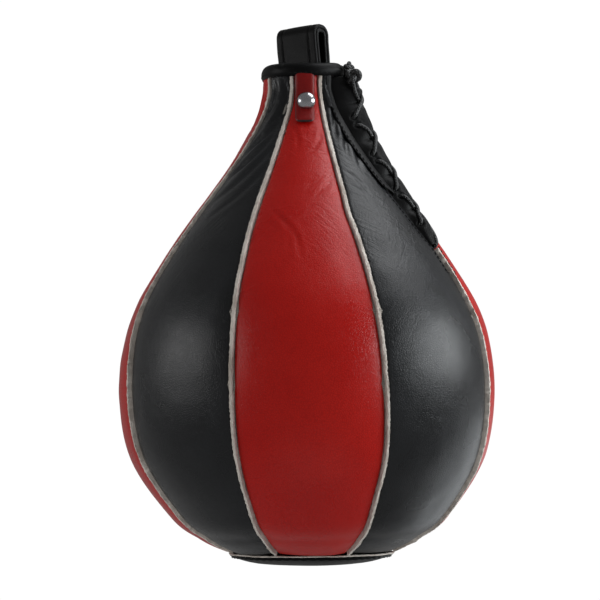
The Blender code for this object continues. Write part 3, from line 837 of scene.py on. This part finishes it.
PANEL_FACES = {}
for number, side_name in enumerate(SIDES):
    colour_name = "red" if number % 2 == 0 else "black"
    node = f"panel_{side_name}_{colour_name}"
    PANEL_FACES[number], panel_run = panel_grid(number, side_name)
    made_panel = sheet("leather_" + node, PANEL_FACES[number], PANEL_LEATHER)
    lay_out(made_panel.data, panel_run + np.array([0.4 * number, 0.0]))
    dress(made_panel, RED_LEATHER if number % 2 == 0 else BLACK_LEATHER, [node])
    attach(made_panel, "bag")


# Welts

WELT_OVER = 0.97  # a welt's half width, as a share of its gap's
WELT_DEEP = 0.0030


def welt_rings(index):
    """A strip of raw leather standing in the seam, with the ragged edge that a knife leaves."""
    top = along_at(SLIT_LOW - 0.0010 if index == SLIT_SEAM else 0.2585)
    marks = np.linspace(0.0006, top, int(top / 0.00055))
    height = height_at(marks)
    centre = seam_angle(index, height)
    half = seam_edge(height) * WELT_OVER
    left = [(-1.0, -1.0), (-1.0, 0.30), (-0.98, 0.80), (-0.86, 0.97), (-0.30, 1.0)]
    section = left + [(-sideways, up) for sideways, up in reversed(left)]
    base = place(height, centre)
    sway = 0.00018 * lattice_noise(base, 70.0, 31 + index)
    proud = -0.00005 + 0.00020 * lattice_noise(base, 150.0, 51 + index)
    rings = []
    for k, (sideways, up) in enumerate(section):
        spots = base + np.array([k * 0.4, 0, 0])
        ragged = 0.00024 * lattice_noise(spots, 1050.0, index)
        ragged = ragged + 0.00014 * lattice_noise(spots, 330.0, 11 + index)
        out = np.where(up < 0, -WELT_DEEP, proud - (1 - up) * 0.0007 + ragged * 1.1)
        rings.append(beside(height, centre, sideways * (half + ragged) + sway, out))
    return np.stack(rings, axis=1)


for number in range(PANELS):
    made_welt = sweep(f"raw_edge_welt_{number + 1}", welt_rings(number))
    dress(made_welt, CREAM, [f"welt_{number + 1}"], sharp=80)
    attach(made_welt, "bag")


# The base

BASE_WELT_HALF = 0.00042
TURN_STEPS = 288
ANGLES = np.arange(TURN_STEPS) * math.tau / TURN_STEPS


def base_disc():
    """A domed disc of leather whose rim turns up to meet the ring of raw welt."""
    shares = [0.0, 0.14, 0.28, 0.42, 0.56, 0.68, 0.77, 0.842, 0.90, 0.945, 0.974, 0.990, 1.0]
    # (share of the radius, extra height): the last two stops turn the cut edge back in
    stops = [(share, 0.0) for share in shares] + [(0.997, 0.0003), (0.986, 0.0006)]
    rows = []
    for share, lift in stops:
        radius = share * (BASE_RADIUS - 0.0004)
        up = -0.0005 + 0.0052 * min(share, 0.997) ** 4.2 + lift
        spots = ring_place(radius, ANGLES, 0.0)
        wobble = 0.00030 * lattice_noise(spots, 55.0, 5) * min(1, radius / 0.02)
        pucker = 0.00016 * np.sin(ANGLES * 58 + 2 * lattice_noise(spots, 40.0, 8))
        pucker = pucker * ramp(radius, 0.034, 0.041)
        wander = 0.0003 * lattice_noise(spots, 70.0, 9) * ramp(radius, 0.03, 0.04)
        wander = wander + share * fuller(0.0, ANGLES)
        rows.append(ring_place(radius + wander, ANGLES, up + wobble * 0.5 + pucker))
    made = capped("leather_base_disc", rows[0].mean(axis=0), np.stack(rows[1:]))
    if made.data.polygons[0].normal.z > 0:
        made.data.flip_normals()
    return thicken(made, 0.0016)


def base_welt():
    """A thin ring of raw leather round the base disc."""
    section = [
        *[(-0.0030, -0.9), (-0.0006, -1.0), (0.0001, -0.8), (0.0003, -0.2)],
        *[(0.0003, 0.3), (0.0001, 0.8), (-0.0006, 1.0), (-0.0030, 0.9)],
    ]
    rings = []
    spots = ring_place(BASE_RADIUS, ANGLES, BASE_RIM)
    sway = 0.00035 * layered_noise(spots, 45.0, 2, 70)
    for k, (out, up) in enumerate(section):
        ragged = 0.00013 * lattice_noise(spots + np.array([0, 0, k * 0.3]), 900.0, 71)
        radius = BASE_RADIUS + out + ragged + fuller(0.0, ANGLES)
        rings.append(ring_place(radius, ANGLES, BASE_RIM + up * BASE_WELT_HALF + sway + ragged))
    return sweep("raw_edge_base_welt", np.stack(rings, axis=1), cyclic=True)


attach(dress(base_disc(), STRAP_LEATHER, ["base_disc"]), "bag")
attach(dress(base_welt(), CREAM, ["base_welt"], sharp=80), "bag")


# The laced opening

LACE_RADIUS = 0.00120
LACE_UNDER = -0.0026
LACE_OVER = 0.0013
CROSSES = 4
CROSS_LOW = 0.0140
CROSS_RISE = 0.0180
CROSS_PITCH = 0.0227
CROSS_SINK = (0.0036, 0.0016)  # the lower and the upper strand's middle under the ridge's top, at a cross
CROSS_PRESS = 0.0029
CROSS_PRESS_REACH = 0.0030
KNOT = ring_place(0.0296, SLIT - 0.14, 0.2566)
UPPER_KNOT = ring_place(0.0262, SLIT - 0.05, 0.2622)
FACING_EDGE = 0.0006  # a facing's free edge to the slit's middle
FACING_TUCKED = -0.0031  # how deep a facing lies under its panel
FACING_FAR = 0.0135
TONGUE_HALF = 0.0150
TONGUE_DEEP = 0.0056
STRIP_LOW = 0.1915
STRIP_WIDTH = 0.0056
STRIP_SEAM = 0.82  # where its stitches run, as a share of its width


def cross_middle(k):
    return CROSS_LOW + k * CROSS_PITCH + CROSS_RISE / 2


def crossing_press(distance):
    """How hard the lace presses the facings' edges down this far up the slit.

    It is 1 under the middle of a cross.
    """
    away = [(distance - cross_middle(k)) / CROSS_PRESS_REACH for k in range(CROSSES)]
    return sum(math.exp(-(share**2)) for share in away)


def ridge(distance):
    """The height of the laced ridge over the ball's face."""
    return 0.0042 + 0.035 * distance + 0.42 * distance**2


def facing_line(height):
    """The facing's middle surface across the slit, from its free edge outwards: (sideways, out) stops."""
    opening = float(slit_half(height))
    distance = float(along_at(height) - along_at(SLIT_LOW))
    full = float(ramp(distance, 0.0, 0.014) * (1 - 0.45 * ramp(distance, 0.097, 0.106)))
    rise = -0.0006 + full * (ridge(distance) - 0.0013 - CROSS_PRESS * crossing_press(distance))
    tuck = max(0.0030, opening - 0.0010)
    middle = ((FACING_EDGE + tuck) / 2, (rise + FACING_TUCKED) / 2 + 0.0004)
    return [(FACING_EDGE, rise), middle, (tuck, FACING_TUCKED), (FACING_FAR, FACING_TUCKED)]


def up_the_slit(distance):
    return float(height_at(along_at(SLIT_LOW) + distance))


def hole_marks():
    marks = []
    for k in range(CROSSES):
        marks += [CROSS_LOW + k * CROSS_PITCH, CROSS_LOW + k * CROSS_PITCH + CROSS_RISE]
    return marks[:-1]


def lace_point(side, distance, level):
    height = up_the_slit(distance)
    sideways, out = facing_line(height)[1]
    return beside(height, SLIT, side * sideways, out + level)


def facing(name, side):
    """A facing's upper face, dimpled where the lace goes through it and drawn up between the crosses."""
    low, high = along_at(SLIT_LOW + 0.0012), along_at(0.2564)
    marks = np.linspace(low, high, int((high - low) / 0.0007))
    rows = []
    for mark in marks:
        height = float(height_at(mark))
        stops = smooth_line(facing_line(height), 12)
        rows.append(beside(height, SLIT, side * stops[:, 0], stops[:, 1]))
    grid = np.stack(rows)
    if side < 0:
        grid = grid[:, ::-1]
    normal = np.cross(np.gradient(grid, axis=1), np.gradient(grid, axis=0))
    normal /= np.linalg.norm(normal, axis=-1)[..., None]
    push = 0.00020 * layered_noise(grid, 140.0, 2, 12)
    for mark in hole_marks():
        far = np.linalg.norm(grid - lace_point(side, mark, 0.0), axis=-1)
        push = push - 0.0010 * (1 - ramp(far, 0.0009, 0.0021))
        push = push + 0.00018 * np.exp(-(((far - 0.0026) / 0.0006) ** 2))
    grid = grid + normal * push[..., None]
    return sheet(name, grid, 0.0014, offset=0.0)


def tongue():
    low, high = along_at(SLIT_LOW - 0.004), along_at(0.2560)
    height = height_at(np.linspace(low, high, 110))[:, None]
    sideways = np.linspace(-TONGUE_HALF, TONGUE_HALF, 26)[None, :]
    wrinkle = 0.0004 * layered_noise(beside(height, SLIT, sideways), (90.0, 90.0, 40.0), 3, 33)
    return sheet("leather_lace_tongue", beside(height, SLIT, sideways, wrinkle - TONGUE_DEEP), 0.0010)


def strip_width(height):
    return STRIP_WIDTH * (1 - 0.45 * ramp(height, 0.215, 0.245))


def edge_strip(name, side):
    """The strip sewn along the slit's edge, and its stitches. Its low end is cut to a point."""
    low, high = along_at(STRIP_LOW), along_at(0.2600)
    marks = np.linspace(low, high, int((high - low) / 0.0008))
    height = height_at(marks)
    opening = slit_half(height)
    width = strip_width(height) * np.clip((marks - low) / 0.0050, 0.15, 1)
    middle = place(height, SLIT)
    rows = []
    for k, stop in enumerate((0.0, 0.04, 0.10, 0.22, 0.40, 0.60, 0.78, 0.90, 0.96, 1.0)):
        press = -0.00022 * math.exp(-(((stop - STRIP_SEAM) / 0.09) ** 2))
        rounded = -0.00055 * (abs(2 * stop - 1) ** 9)
        out = 0.00080 + press + rounded - (0.0012 if k == 0 else 0.0)
        out = out + 0.00008 * lattice_noise(middle, 150.0, k)
        rows.append(beside(height, SLIT, side * (opening - 0.0001 + stop * width), out))
    grid = np.stack(rows, axis=1)
    if side < 0:
        grid = grid[:, ::-1]
    made = sheet(name, grid, 0.0007)
    seats = np.linspace(low + 0.0035, high - 0.003, int((high - low) / 0.0030))
    sewn = height_at(seats)
    reach = side * (slit_half(sewn) + STRIP_SEAM * strip_width(sewn))
    run = beside(sewn, SLIT, reach, 0.00062)
    outward = beside(sewn, SLIT, reach, 0.01) - run
    return made, stitches(name + "_stitches", run, outward, 0.0023, 0.00050)


def lace_half(first_side, lifted):
    """One half of the lace: up the slit from under its low end, over each cross, and on to the knot."""
    side = first_side
    if first_side > 0:
        points = [on_ridge(0.0006, side * 0.0020, 0.0080), on_ridge(0.0012, side * 0.0022, 0.0040)]
    else:
        points = [lace_point(side, CROSS_LOW, LACE_UNDER)]
    for k in range(CROSSES):
        low = CROSS_LOW + k * CROSS_PITCH
        high = low + CROSS_RISE
        sink = CROSS_SINK[(k % 2 == 0) == lifted]
        if k or first_side < 0:
            points.append(lace_point(side, low, LACE_OVER))
        else:
            points.append(on_ridge(0.0060, side * 0.0026, 0.0028))
        points.append(on_slope(low + 0.24 * CROSS_RISE, side * 0.0030))
        points.append(on_ridge(cross_middle(k), 0.0, sink))
        side = -side
        points.append(on_slope(high - 0.24 * CROSS_RISE, side * 0.0030))
        if k < CROSSES - 1:
            points.append(lace_point(side, high, LACE_OVER))
            points.append(lace_point(side, high + 0.0006, LACE_UNDER))
            points.append(lace_point(side, low + CROSS_PITCH - 0.0006, LACE_UNDER))
    points.append(KNOT + (on_ridge(high, side * 0.0016, 0.0) - on_ridge(high, 0.0, 0.0)) * 0.6)
    points.append(KNOT)
    return points


def on_ridge(distance, sideways, sink):
    return beside(up_the_slit(distance), SLIT, sideways, ridge(distance) - sink)


def on_slope(distance, sideways):
    """A point of the lace's middle line where it lies on a facing's slope."""
    height = up_the_slit(distance)
    stops = np.array(facing_line(height))
    return beside(height, SLIT, sideways, np.interp(abs(sideways), stops[:, 0], stops[:, 1]) + 0.0016)


def settle(face, spots, outward):
    """The spots, moved out or in to lie on a panel's face."""
    flat = face.reshape(-1, 3)
    near = np.array([flat[np.argmin(((flat - spot) ** 2).sum(axis=1))] for spot in spots])
    return spots + outward * ((near - spots) * outward).sum(axis=1)[:, None]


def slit_stitches(name, side, face):
    """The seam that holds the facing under its panel: beside the slit, past its low end, over to the welt."""
    beyond, reach = 0.0165, 0.0068
    marks = np.arange(along_at(SLIT_LOW) - beyond, along_at(STRIP_LOW) + 0.004, 0.0026)
    height = height_at(marks)
    aside = np.maximum(reach, slit_half(height) + STRIP_SEAM * STRIP_WIDTH)
    across = np.arange(0.0022, reach - 0.001, 0.0026)
    rises = np.concatenate([np.full_like(across, height[0]), height])
    reaches = side * np.concatenate([across, aside])
    spots = beside(rises, SLIT, reaches)
    outward = (beside(rises, SLIT, reaches, 0.01) - spots) / 0.01
    return stitches(name, settle(face, spots, outward), outward, 0.0021, 0.00056)


def soften(points, most):
    """The same line with its corners rounded off."""
    points = [np.asarray(p, float) for p in points]
    line = [points[0]]
    for before, corner, after in zip(points, points[1:], points[2:]):
        start = corner + (before - corner) * min(0.45, most / np.linalg.norm(before - corner))
        end = corner + (after - corner) * min(0.45, most / np.linalg.norm(after - corner))
        for share in (0.0, 0.25, 0.5, 0.75, 1.0):
            line.append(start * (1 - share) ** 2 + corner * 2 * share * (1 - share) + end * share**2)
    return [*line, points[-1]]


def knot(name, centre, size, turn, cord):
    """An overhand knot pulled tight, as a closed trefoil of cord."""
    steps = 120
    t = np.arange(steps) * math.tau / steps
    across, over = np.sin(t) + 2 * np.sin(2 * t), np.cos(t) - 2 * np.cos(2 * t)
    loop = np.stack([across, over, -1.3 * np.sin(3 * t)], axis=1) / 3
    loop = loop * np.array(size)
    spin = np.array(Euler(turn).to_matrix())
    return tube(name, loop @ spin.T + np.array(centre), cord, cyclic=True)


for facing_name, facing_side in (("lace_facing_front", -1), ("lace_facing_rear", 1)):
    leather_facing = facing("leather_" + facing_name, facing_side)
    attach(dress(leather_facing, FACING_LEATHER, [facing_name]), "bag")
for strip_name, strip_side in (("slit_edge_front", -1), ("slit_edge_rear", 1)):
    strip, strip_thread = edge_strip("leather_" + strip_name, strip_side)
    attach(dress(strip, FACING_LEATHER, [strip_name]), "bag")
    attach(dress(strip_thread, BLACK_THREAD), "bag")
for seam_name, seam_side, seam_panel in (("slit_seam_front", -1, 1), ("slit_seam_rear", 1, 2)):
    seam = slit_stitches(seam_name, seam_side, PANEL_FACES[seam_panel])
    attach(dress(seam, BLACK_THREAD), "bag")
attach(dress(tongue(), TONGUE_LEATHER, ["lace_tongue"]), "bag")
for half_name, half_side, half_lifted in (("lace_front_half", -1, True), ("lace_rear_half", 1, False)):
    half_line = even_line(soften(lace_half(half_side, half_lifted), 0.0032), 0.00045)
    half_lace = tube("braided_" + half_name, half_line, LACE_RADIUS, squeeze=0.88)
    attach(dress(half_lace, LACE_CORD, ["lace"] if half_side < 0 else ()), "bag")
upper_knot = knot("lace_knot_upper", UPPER_KNOT, (0.0021, 0.0023, 0.0018), (0.3, 1.2, SLIT), 0.00120)
lower_knot = knot("lace_knot_lower", KNOT, (0.0034, 0.0036, 0.0030), (1.3, 0.4, SLIT), 0.00165)
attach(dress(upper_knot, LACE_CORD, ["lace_knot"]), "bag")
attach(dress(lower_knot, LACE_CORD), "bag")


# The neck binding and cap


def binding_lift(angles):
    """The binding isn't quite level: it is pulled up at two sides."""
    return 0.0018 * np.cos(angles - CAMERA_TURN) ** 2 + 0.0003 * np.cos(angles - CAMERA_TURN)


def binding_draw(angles):
    """How far the same pull draws it in."""
    return 0.0009 * np.cos(angles - CAMERA_TURN) ** 2


def neck_binding():
    """A strip folded over the panels' top edge, its two ends meeting over the slit."""
    steps = 240
    gap = 0.0016 / BINDING_OUTER
    angles = np.linspace(SLIT + gap, SLIT + math.tau - gap, steps)
    low, top = BINDING_LOW, BINDING_TOP
    section = [
        (BINDING_OUTER - 0.0013, low + 0.0002),
        (BINDING_OUTER - 0.0006, low - 0.0001),
        (BINDING_OUTER - 0.0001, low + 0.0006),
        (BINDING_OUTER + 0.0003, low + 0.0018),
        (BINDING_OUTER + 0.0004, low + 0.0034),
        (BINDING_OUTER + 0.0001, low + 0.0048),
        (BINDING_OUTER - 0.0006, top - 0.0011),
        (BINDING_OUTER - 0.0017, top - 0.0003),
        (BINDING_OUTER - 0.0033, top + 0.0001),
        (BINDING_OUTER - 0.0050, top - 0.0001),
        (BINDING_INNER + 0.0014, top - 0.0008),
        (BINDING_INNER + 0.0004, top - 0.0022),
        (BINDING_INNER, top - 0.0040),
        (BINDING_INNER, low + 0.0006),
        (BINDING_INNER + 0.0013, low + 0.0006),
        (BINDING_INNER + 0.0015, top - 0.0034),
        (BINDING_INNER + 0.0026, top - 0.0019),
        (BINDING_OUTER - 0.0032, top - 0.0018),
        (BINDING_OUTER - 0.0016, top - 0.0028),
        (BINDING_OUTER - 0.0014, low + 0.0018),
    ]
    section = smooth_line([*section, section[0]], 3)[:-1]
    rings = []
    ends = np.minimum(np.arange(steps), np.arange(steps)[::-1])
    dent = np.exp(-(((angles - (FRONT - 0.55 + math.tau)) / 0.05) ** 2))
    for radius, up in section:
        spots = ring_place(radius, angles, up)
        wave = 0.00045 * layered_noise(spots, (60.0, 60.0, 90.0), 2, 14)
        upper = ramp(up, low + 0.003, top)
        crease = -0.0007 * dent * upper
        close = -0.0012 * np.exp(-ends / 4.0) * upper
        reach = radius + wave + crease + close - binding_draw(angles)
        rings.append(ring_place(reach, angles, up + binding_lift(angles) + 0.7 * wave))
    return sweep("leather_neck_binding", np.stack(rings, axis=1))


def binding_stitches():
    gap = 0.0035 / BINDING_OUTER
    angles = np.linspace(SLIT + gap, SLIT + math.tau - gap, 52)
    radius = BINDING_OUTER - 0.0001 - binding_draw(angles)
    seats = ring_place(radius, angles, BINDING_LOW + 0.0015 + binding_lift(angles))
    outward = ring_place(1.0, angles, 0.0) - ring_place(0.0, angles, 0.0)
    return stitches("neck_binding_stitches", seats, outward, 0.0021, 0.00048)


def neck_cap():
    """A leather disc with a slot that the strap comes up through."""
    top = HINGE_HEIGHT - 0.0022
    rim, ring_steps, row_count = BINDING_INNER - 0.0006, 96, 9
    slot_x, slot_y = 0.0134, 0.0073
    rows = []
    for share in np.linspace(0, 1, row_count):
        row = []
        for k in range(ring_steps):
            angle = math.tau * k / ring_steps
            way = np.array([math.cos(angle), math.sin(angle)])
            reach = min(slot_x / max(1e-9, abs(way[0])), slot_y / max(1e-9, abs(way[1])))
            spot = reach * way * (1 - share) + rim * way * share
            droop = 0.0003 * math.cos(3 * angle) - 0.0005 * (1 - share)
            row.append((spot[0], spot[1], top + droop + LOWEST))
        rows.append(row)
    points = np.array(rows).reshape(-1, 3)
    made = mesh_object("leather_neck_cap", points, grid_faces(row_count, ring_steps, wrap=True))
    if made.data.polygons[0].normal.z < 0:
        made.data.flip_normals()
    return thicken(made, 0.0014)


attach(dress(neck_binding(), STRAP_LEATHER, ["neck_binding"]), "bag")
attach(dress(binding_stitches(), BLACK_THREAD), "bag")
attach(dress(neck_cap(), STRAP_LEATHER, ["neck_cap"]), "bag")


# The hanging loop


STRAP_EDGE = STRAP_HALF - 0.0002
STRAP_SEAM = STRAP_EDGE - 0.0042
EYE_FLAT = 0.0010
OUTER_OFF = STRAP_LAYER * 1.5 + 0.0003  # the outer layer's middle to the eye's face
FOOT = HINGE - 0.0060


def lean(z):
    """The loop stands a little askew: how far sideways it is at this height."""
    return -0.0012 * ramp(z, HINGE, -0.001)


def strap_rings(off_eye, groove):
    """Rings along one layer of strap: up the front leg, over the eye and down the rear leg."""
    arc = 14
    corner = EYE_HALF - EYE_FLAT
    bend, bend_normals = [], []
    for side, first, last in ((-1, 180, 90), (1, 90, 0)):
        for k in range(arc + 1):
            angle = math.radians(first + (last - first) * k / arc)
            radius = corner + off_eye
            bend.append((side * EYE_FLAT + radius * math.cos(angle), -corner + radius * math.sin(angle)))
            bend_normals.append((math.cos(angle), math.sin(angle)))
    leg = np.linspace(FOOT, -corner, 26)[:-1]
    drawn = EYE_HALF + off_eye - 0.00025 * ramp(-leg, 0.008, 0.018)
    front = [(-y, z) for y, z in zip(drawn, leg)]
    rear = [(y, z) for y, z in zip(drawn, leg)][::-1]
    path = np.array(front + bend + rear)
    normals = np.array([(-1, 0)] * len(front) + bend_normals + [(1, 0)] * len(rear))

    # Points crowd together beside the strap's edges, where it is grooved and rounded
    bands = ((-1, -0.96, 4), (-0.96, -0.60, 13), (-0.60, 0.60, 18), (0.60, 0.96, 13), (0.96, 1, 4))
    across = np.concatenate([*(np.linspace(*band)[:-1] for band in bands), [1.0]])
    x = across * STRAP_EDGE
    round_off = 0.00065 * np.clip((np.abs(across) - 0.955) / 0.045, 0, 1) ** 2
    crown = 0.00025 * (1 - across**2)
    sunk = groove * np.exp(-(((np.abs(x) - STRAP_SEAM) / 0.00045) ** 2))
    rings = []
    for spot, normal in zip(path, normals):
        centre = np.stack([x + lean(spot[1]), np.full_like(x, spot[0]), np.full_like(x, spot[1])], axis=-1)
        way = np.array([0, normal[0], normal[1]])
        wave = 0.00014 * layered_noise(centre, (70.0, 90.0, 110.0), 2, 17)
        upper = centre + way * (STRAP_LAYER / 2 - round_off + crown + wave - sunk)[:, None]
        lower = centre - way * (STRAP_LAYER / 2 - round_off - crown * 0.5)[:, None]
        rings.append(np.concatenate([upper, lower[::-1]]))
    return np.stack(rings)


def strap_stitches():
    """Two lines of black thread sunk in the grooves along the strap's edges, on both legs."""
    for label, x in (("left", -STRAP_SEAM), ("right", STRAP_SEAM)):
        for leg, way in (("front", -1), ("rear", 1)):
            z = np.linspace(HINGE + 0.0035, -0.0030, 7)
            y = way * (EYE_HALF + OUTER_OFF + STRAP_LAYER / 2 - 0.00005)
            seats = np.stack([x + lean(z), np.full_like(z, y), z], axis=1)
            outward = np.tile(np.array([0.0, way, 0.0]), (len(z), 1))
            piece = stitches(f"loop_stitches_{leg}_{label}", seats, outward, 0.0018, 0.00045)
            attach(dress(piece, BLACK_THREAD), "hang_loop")


STRAPS = (("loop_inner_strap", STRAP_LAYER / 2, 0.0), ("loop_outer_strap", OUTER_OFF, 0.00035))
for strap_name, strap_off, strap_groove in STRAPS:
    strap = sweep("leather_" + strap_name, strap_rings(strap_off, strap_groove))
    dress(strap, STRAP_LEATHER, [strap_name])
    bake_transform(strap)
strap_stitches()


# The patches and rivets


RIVET_DOME = 0.0032
RIVET_OFF = 0.0022  # the rivet's seat to the ball's face


def patch(name, facing_way, look):
    """A leather rectangle with rounded low corners, pressed down at its edges and under the rivet."""
    half, low, high = 0.0048, PATCH_LOW, 0.2600
    marks = np.linspace(along_at(low), along_at(high), 70)
    height = height_at(marks)
    margin = np.linspace(0.86, 1, 6)
    stops = np.concatenate([np.linspace(-1, -0.86, 6)[:-1], np.linspace(-0.86, 0.86, 20), margin[1:]])
    from_low = marks - marks[0]
    corner = 0.0026
    left_over = corner**2 - (corner - from_low) ** 2
    cut = np.where(from_low < corner, corner - np.sqrt(np.maximum(0, left_over)), 0)
    rows = []
    for stop in stops:
        sideways = stop * (half - cut)
        spots = beside(height, facing_way, sideways)
        edge = np.minimum((1 - abs(stop)) * half, from_low)
        out = 0.0016 - 0.0008 * np.exp(-edge / 0.0007) + 0.00012 * layered_noise(spots, 160.0, 2, 23)
        far = np.hypot(marks - along_at(RIVET_HEIGHT), sideways)
        out = out - 0.00035 * np.exp(-((far / 0.0058) ** 2))
        rows.append(beside(height, facing_way, sideways, out + 0.0002))
    made = sheet("leather_" + name, np.stack(rows, axis=1), 0.0013)
    dress(made, look, [name])
    made.data.materials.append(EDGE_PAINT)
    made.modifiers["thickness"].material_offset_rim = 1
    for face in made.data.polygons:
        column = face.index % (len(stops) - 1)
        row = face.index // (len(stops) - 1)
        if column < 2 or column > len(stops) - 4 or row < 2:
            face.material_index = 1
    return made


def rivet(name, facing_way):
    """A domed cap with a fine turned rim, on its shank."""
    outline = []
    for k in range(1, 13):
        angle = math.pi / 2 * k / 13
        outline.append((0.0047 * math.sin(angle), 0.0004 + RIVET_DOME * math.cos(angle)))
    outline += [(0.00478, 0.00055), (0.00485, 0.00030), (0.00478, 0.00006), (0.00455, -0.00010)]
    outline += [(0.0016, -0.0001), (0.0016, -0.0070)]
    turn = np.arange(72) * math.tau / 72
    rings = [ring_place(radius, turn, up - LOWEST) for radius, up in outline]
    made = capped("domed_" + name, (0, 0, 0.0036), np.stack(rings), (0, 0, -0.0070))

    # It points straight out, but less steeply upwards than the leather under it
    low, high = (Vector(beside(RIVET_HEIGHT + step, facing_way, 0.0)) for step in (-0.005, 0.005))
    sideways = Vector((-math.sin(facing_way), math.cos(facing_way), 0.0))
    outward = sideways.cross(high - low).normalized()
    outward = (outward * Vector((1, 1, 0.35))).normalized()
    seat = Vector(beside(RIVET_HEIGHT, facing_way, 0.0)) + outward * RIVET_OFF
    made.matrix_world = Matrix.Translation(seat) @ outward.to_track_quat("Z", "Y").to_matrix().to_4x4()
    return made


for end_name, end_way in (("front", FRONT), ("rear", FRONT + math.pi)):
    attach(patch(f"rivet_patch_{end_name}", end_way, PATCH_LEATHER), "bag")
    cap = rivet(f"rivet_{end_name}", end_way + 0.030)
    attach(dress(cap, NICKEL, [f"rivet_{end_name}"], sharp=40), "bag")


# The pieces inside keep their solids, with their own materials

INSIDE = {
    "body_lining": CANVAS,
    "base_lining": CANVAS,
    "bladder": LATEX,
    "bladder_valve": VALVE_RUBBER,
    "loop_tail_front": STRAP_LEATHER,
    "loop_tail_rear": STRAP_LEATHER,
    "rivet_washer_front": NICKEL,
    "rivet_washer_rear": NICKEL,
}
for inner_name, inner_look in INSIDE.items():
    inner = frame["nodes"][inner_name]
    inner.data.materials.clear()
    inner.data.materials.append(inner_look)


# Camera

CAMERA_FAR = 1.05
CAMERA_UP = -0.225
CAMERA_LENS = 118.7
CAMERA_RISE = math.radians(4.47)
CAMERA_ROLL = math.radians(-0.45)
CAMERA_ASIDE = 0.0034


def look_at(spot, target, roll=0.0):
    way = (Vector(target) - Vector(spot)).normalized()
    turn = way.to_track_quat("-Z", "Y").to_matrix().to_4x4()
    return Matrix.Translation(spot) @ turn @ Matrix.Rotation(roll, 4, "Z")


camera_data = bpy.data.cameras.new("camera")
camera_data.lens = CAMERA_LENS
camera_data.sensor_width = 36
camera = add_object("camera", camera_data)
camera_spot = Vector((CAMERA_FAR * math.sin(CAMERA_TURN), -CAMERA_FAR * math.cos(CAMERA_TURN), CAMERA_UP))
leftward = Vector((-math.cos(CAMERA_TURN), -math.sin(CAMERA_TURN), 0))
aim = leftward * CAMERA_ASIDE + Vector((0, 0, CAMERA_UP + CAMERA_FAR * math.tan(CAMERA_RISE)))
camera.matrix_world = look_at(camera_spot, aim, CAMERA_ROLL)
bpy.context.scene.camera = camera


# Light and floor


def softbox(name, turn, up, far, size, power, colour=(1.0, 1.0, 1.0)):
    """A rectangular light at a turn from the camera's side (degrees, right is positive) and a rise."""
    data = bpy.data.lights.new(name, "AREA")
    data.shape = "RECTANGLE"
    data.size, data.size_y = size
    data.energy = power
    data.color = colour
    made = add_object(name, data)
    middle = Vector((0, 0, LOWEST / 2))
    angle = CAMERA_TURN + math.radians(turn)
    rise = math.radians(up)
    level = Vector((math.sin(angle), -math.cos(angle), 0)) * math.cos(rise)
    spot = middle + far * (level + Vector((0, 0, math.sin(rise))))
    made.matrix_world = look_at(spot, middle)
    return made


softbox("right_softbox", 82, 14, 1.25, (1.05, 0.48), 14, (0.94, 0.98, 1.0))
softbox("left_softbox", -76, 12, 1.30, (0.90, 0.44), 5)
softbox("top_softbox", 95, 60, 1.20, (0.80, 0.70), 7.5, (0.96, 0.98, 1.0))
softbox("low_right_softbox", 134, -24, 1.30, (0.90, 0.80), 2.8, (0.92, 0.97, 1.0))
fill = softbox("fill_softbox", 5, -48, 1.40, (1.10, 0.70), 3.3)
fill.visible_glossy = False

FLOOR_HALF = 9
FLOOR_BELOW = 1.4
floor_mesh = bpy.data.meshes.new("floor")
floor_corners = ((-1, -1), (1, -1), (1, 1), (-1, 1))
floor_points = [(x * FLOOR_HALF, y * FLOOR_HALF, LOWEST - FLOOR_BELOW) for x, y in floor_corners]
floor_mesh.from_pydata(floor_points, [], [(0, 1, 2, 3)])
floor = add_object("floor", floor_mesh)
paper = Nodes("floor_paper")
paper.set(Roughness=0.8)
paper_share = paper.span(paper.noise(paper.where(), 3.0, 3.0), 0.3, 0.7)
floor_mesh.materials.append(paper.done(paper.mix(paper_share, grey(0.86), grey(0.88))))
floor.visible_glossy = False

world = bpy.data.worlds.new("studio")
world.use_nodes = True
bpy.context.scene.world = world
sky = world.node_tree
background = sky.nodes["Background"]
background.inputs["Color"].default_value = (1, 1, 1, 1)
direction = sky.nodes.new("ShaderNodeTexCoord")
split = sky.nodes.new("ShaderNodeSeparateXYZ")
level = sky.nodes.new("ShaderNodeMapRange")
level.interpolation_type = "SMOOTHSTEP"
SKY_SPAN = {"From Min": -0.5, "From Max": 0.3, "To Min": 0.31, "To Max": 0.22}
for key, number in SKY_SPAN.items():
    level.inputs[key].default_value = number
sky.links.new(direction.outputs["Generated"], split.inputs[0])
sky.links.new(split.outputs[2], level.inputs["Value"])
sky.links.new(level.outputs[0], background.inputs["Strength"])
white = sky.nodes.new("ShaderNodeBackground")
white.inputs["Color"].default_value = (1, 1, 1, 1)
white.inputs["Strength"].default_value = 1.02
seen = sky.nodes.new("ShaderNodeLightPath")
choose = sky.nodes.new("ShaderNodeMixShader")
sky.links.new(seen.outputs["Is Camera Ray"], choose.inputs[0])
sky.links.new(background.outputs[0], choose.inputs[1])
sky.links.new(white.outputs[0], choose.inputs[2])
sky.links.new(choose.outputs[0], sky.nodes["World Output"].inputs["Surface"])
bpy.context.scene.view_settings.view_transform = "Standard"
